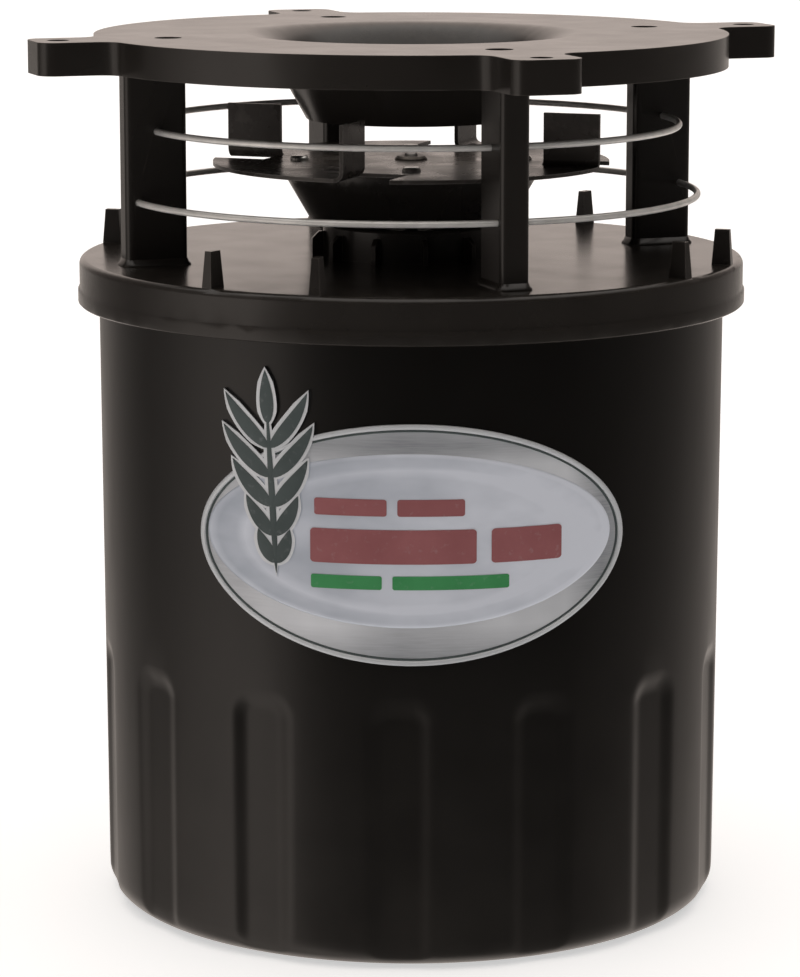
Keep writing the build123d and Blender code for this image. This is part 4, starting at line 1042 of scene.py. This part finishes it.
LOW_TINT = (1.0, 0.89, 0.81, 1.0)
# Heights of the view direction, from -1 straight down to 1 straight up, where one band of the
# surroundings gives way to the next.
FLOOR_TO_LOW = (-0.36, -0.18)
LOW_TO_HIGH = (-0.02, 0.03)
HIGH_TO_OVERHEAD = (0.55, 0.85)


class WorldNodes(NodeTree):
    """The node tree of the studio's surroundings."""

    def __init__(self):
        world = bpy.data.worlds.new("studio")
        bpy.context.scene.world = world
        world.use_nodes = True
        super().__init__(world.node_tree)

    def by_bearing(self, bearing, stops):
        return self.ramp(bearing, [(degrees / 360.0 + 0.5, value) for degrees, value in stops])

    def blended(self, source, low, high, first, second):
        """First below the low level of the source, second above the high one."""
        step = self.nodes.new("ShaderNodeMapRange")
        step.interpolation_type = "SMOOTHSTEP"
        step.inputs["From Min"].default_value = low
        step.inputs["From Max"].default_value = high
        self.links.new(source, step.inputs["Value"])
        mix = self.nodes.new("ShaderNodeMix")
        mix.data_type = "RGBA"
        self.links.new(step.outputs["Result"], mix.inputs["Factor"])
        for socket, value in ((mix.inputs["A"], first), (mix.inputs["B"], second)):
            if isinstance(value, tuple):
                socket.default_value = value
            else:
                self.links.new(value, socket)
        return mix.outputs["Result"]

    def tinted(self, value, tint):
        scale = self.nodes.new("ShaderNodeMix")
        scale.data_type = "RGBA"
        scale.blend_type = "MULTIPLY"
        scale.inputs["Factor"].default_value = 1.0
        scale.inputs["B"].default_value = tint
        self.links.new(value, scale.inputs["A"])
        return scale.outputs["Result"]


def build_world():
    """Soft studio surroundings: dark towards the camera, a soft box at the left, bright behind."""
    world = WorldNodes()
    place = world.nodes.new("ShaderNodeTexCoord")
    split = world.nodes.new("ShaderNodeSeparateXYZ")
    world.links.new(place.outputs["Generated"], split.inputs["Vector"])
    away = world.math("MULTIPLY", split.outputs["Y"], -1.0)
    bearing = world.math("ARCTAN2", split.outputs["X"], away)
    bearing = world.math("MULTIPLY", bearing, 0.5 / math.pi)
    bearing = world.math("ADD", bearing, 0.5)
    floor = world.by_bearing(bearing, FLOOR_SURROUNDINGS)
    low = world.by_bearing(bearing, LOW_SURROUNDINGS)
    low = world.tinted(world.blended(split.outputs["Z"], *FLOOR_TO_LOW, floor, low), LOW_TINT)
    high = world.tinted(world.by_bearing(bearing, HIGH_SURROUNDINGS), HIGH_TINT)
    overhead = tuple(OVERHEAD_STRENGTH * channel for channel in OVERHEAD_TINT) + (1.0,)
    sides = world.blended(split.outputs["Z"], *LOW_TO_HIGH, low, high)
    light = world.blended(split.outputs["Z"], *HIGH_TO_OVERHEAD, sides, overhead)
    seen_directly = world.nodes.new("ShaderNodeLightPath").outputs["Is Camera Ray"]
    shown = world.blended(seen_directly, 0.0, 1.0, light, BACKDROP)
    world.links.new(shown, world.nodes["Background"].inputs["Color"])


# ================================================================ camera
CAMERA_PLACE = (-0.0034, -1.159, 0.3449)
CAMERA_PITCH = 10.72
CAMERA_LENS = 140.0
CAMERA_SENSOR = 36.0
CAMERA_CLIP = (0.05, 60.0)


def build_camera():
    data = bpy.data.cameras.new("camera")
    data.lens = CAMERA_LENS
    data.sensor_width = CAMERA_SENSOR
    data.clip_start, data.clip_end = CAMERA_CLIP
    camera = bpy.data.objects.new("camera", data)
    camera.location = CAMERA_PLACE
    camera.rotation_euler = (math.radians(90 - CAMERA_PITCH), 0, 0)
    bpy.context.scene.collection.objects.link(camera)
    bpy.context.scene.camera = camera


# ================================================================ build
materials = make_materials()
finish_nodes(materials)
for node_name, node_object in NODES.items():
    soften(node_object, EDGE_WIDTHS.get(node_name, 0))
build_canister()
build_lock_lugs()
build_post_feet()
build_badge()
build_spring("positive_terminal")
build_spring("negative_terminal")
build_floor()
build_world()
build_camera()
bpy.context.scene.view_settings.view_transform = "Standard"
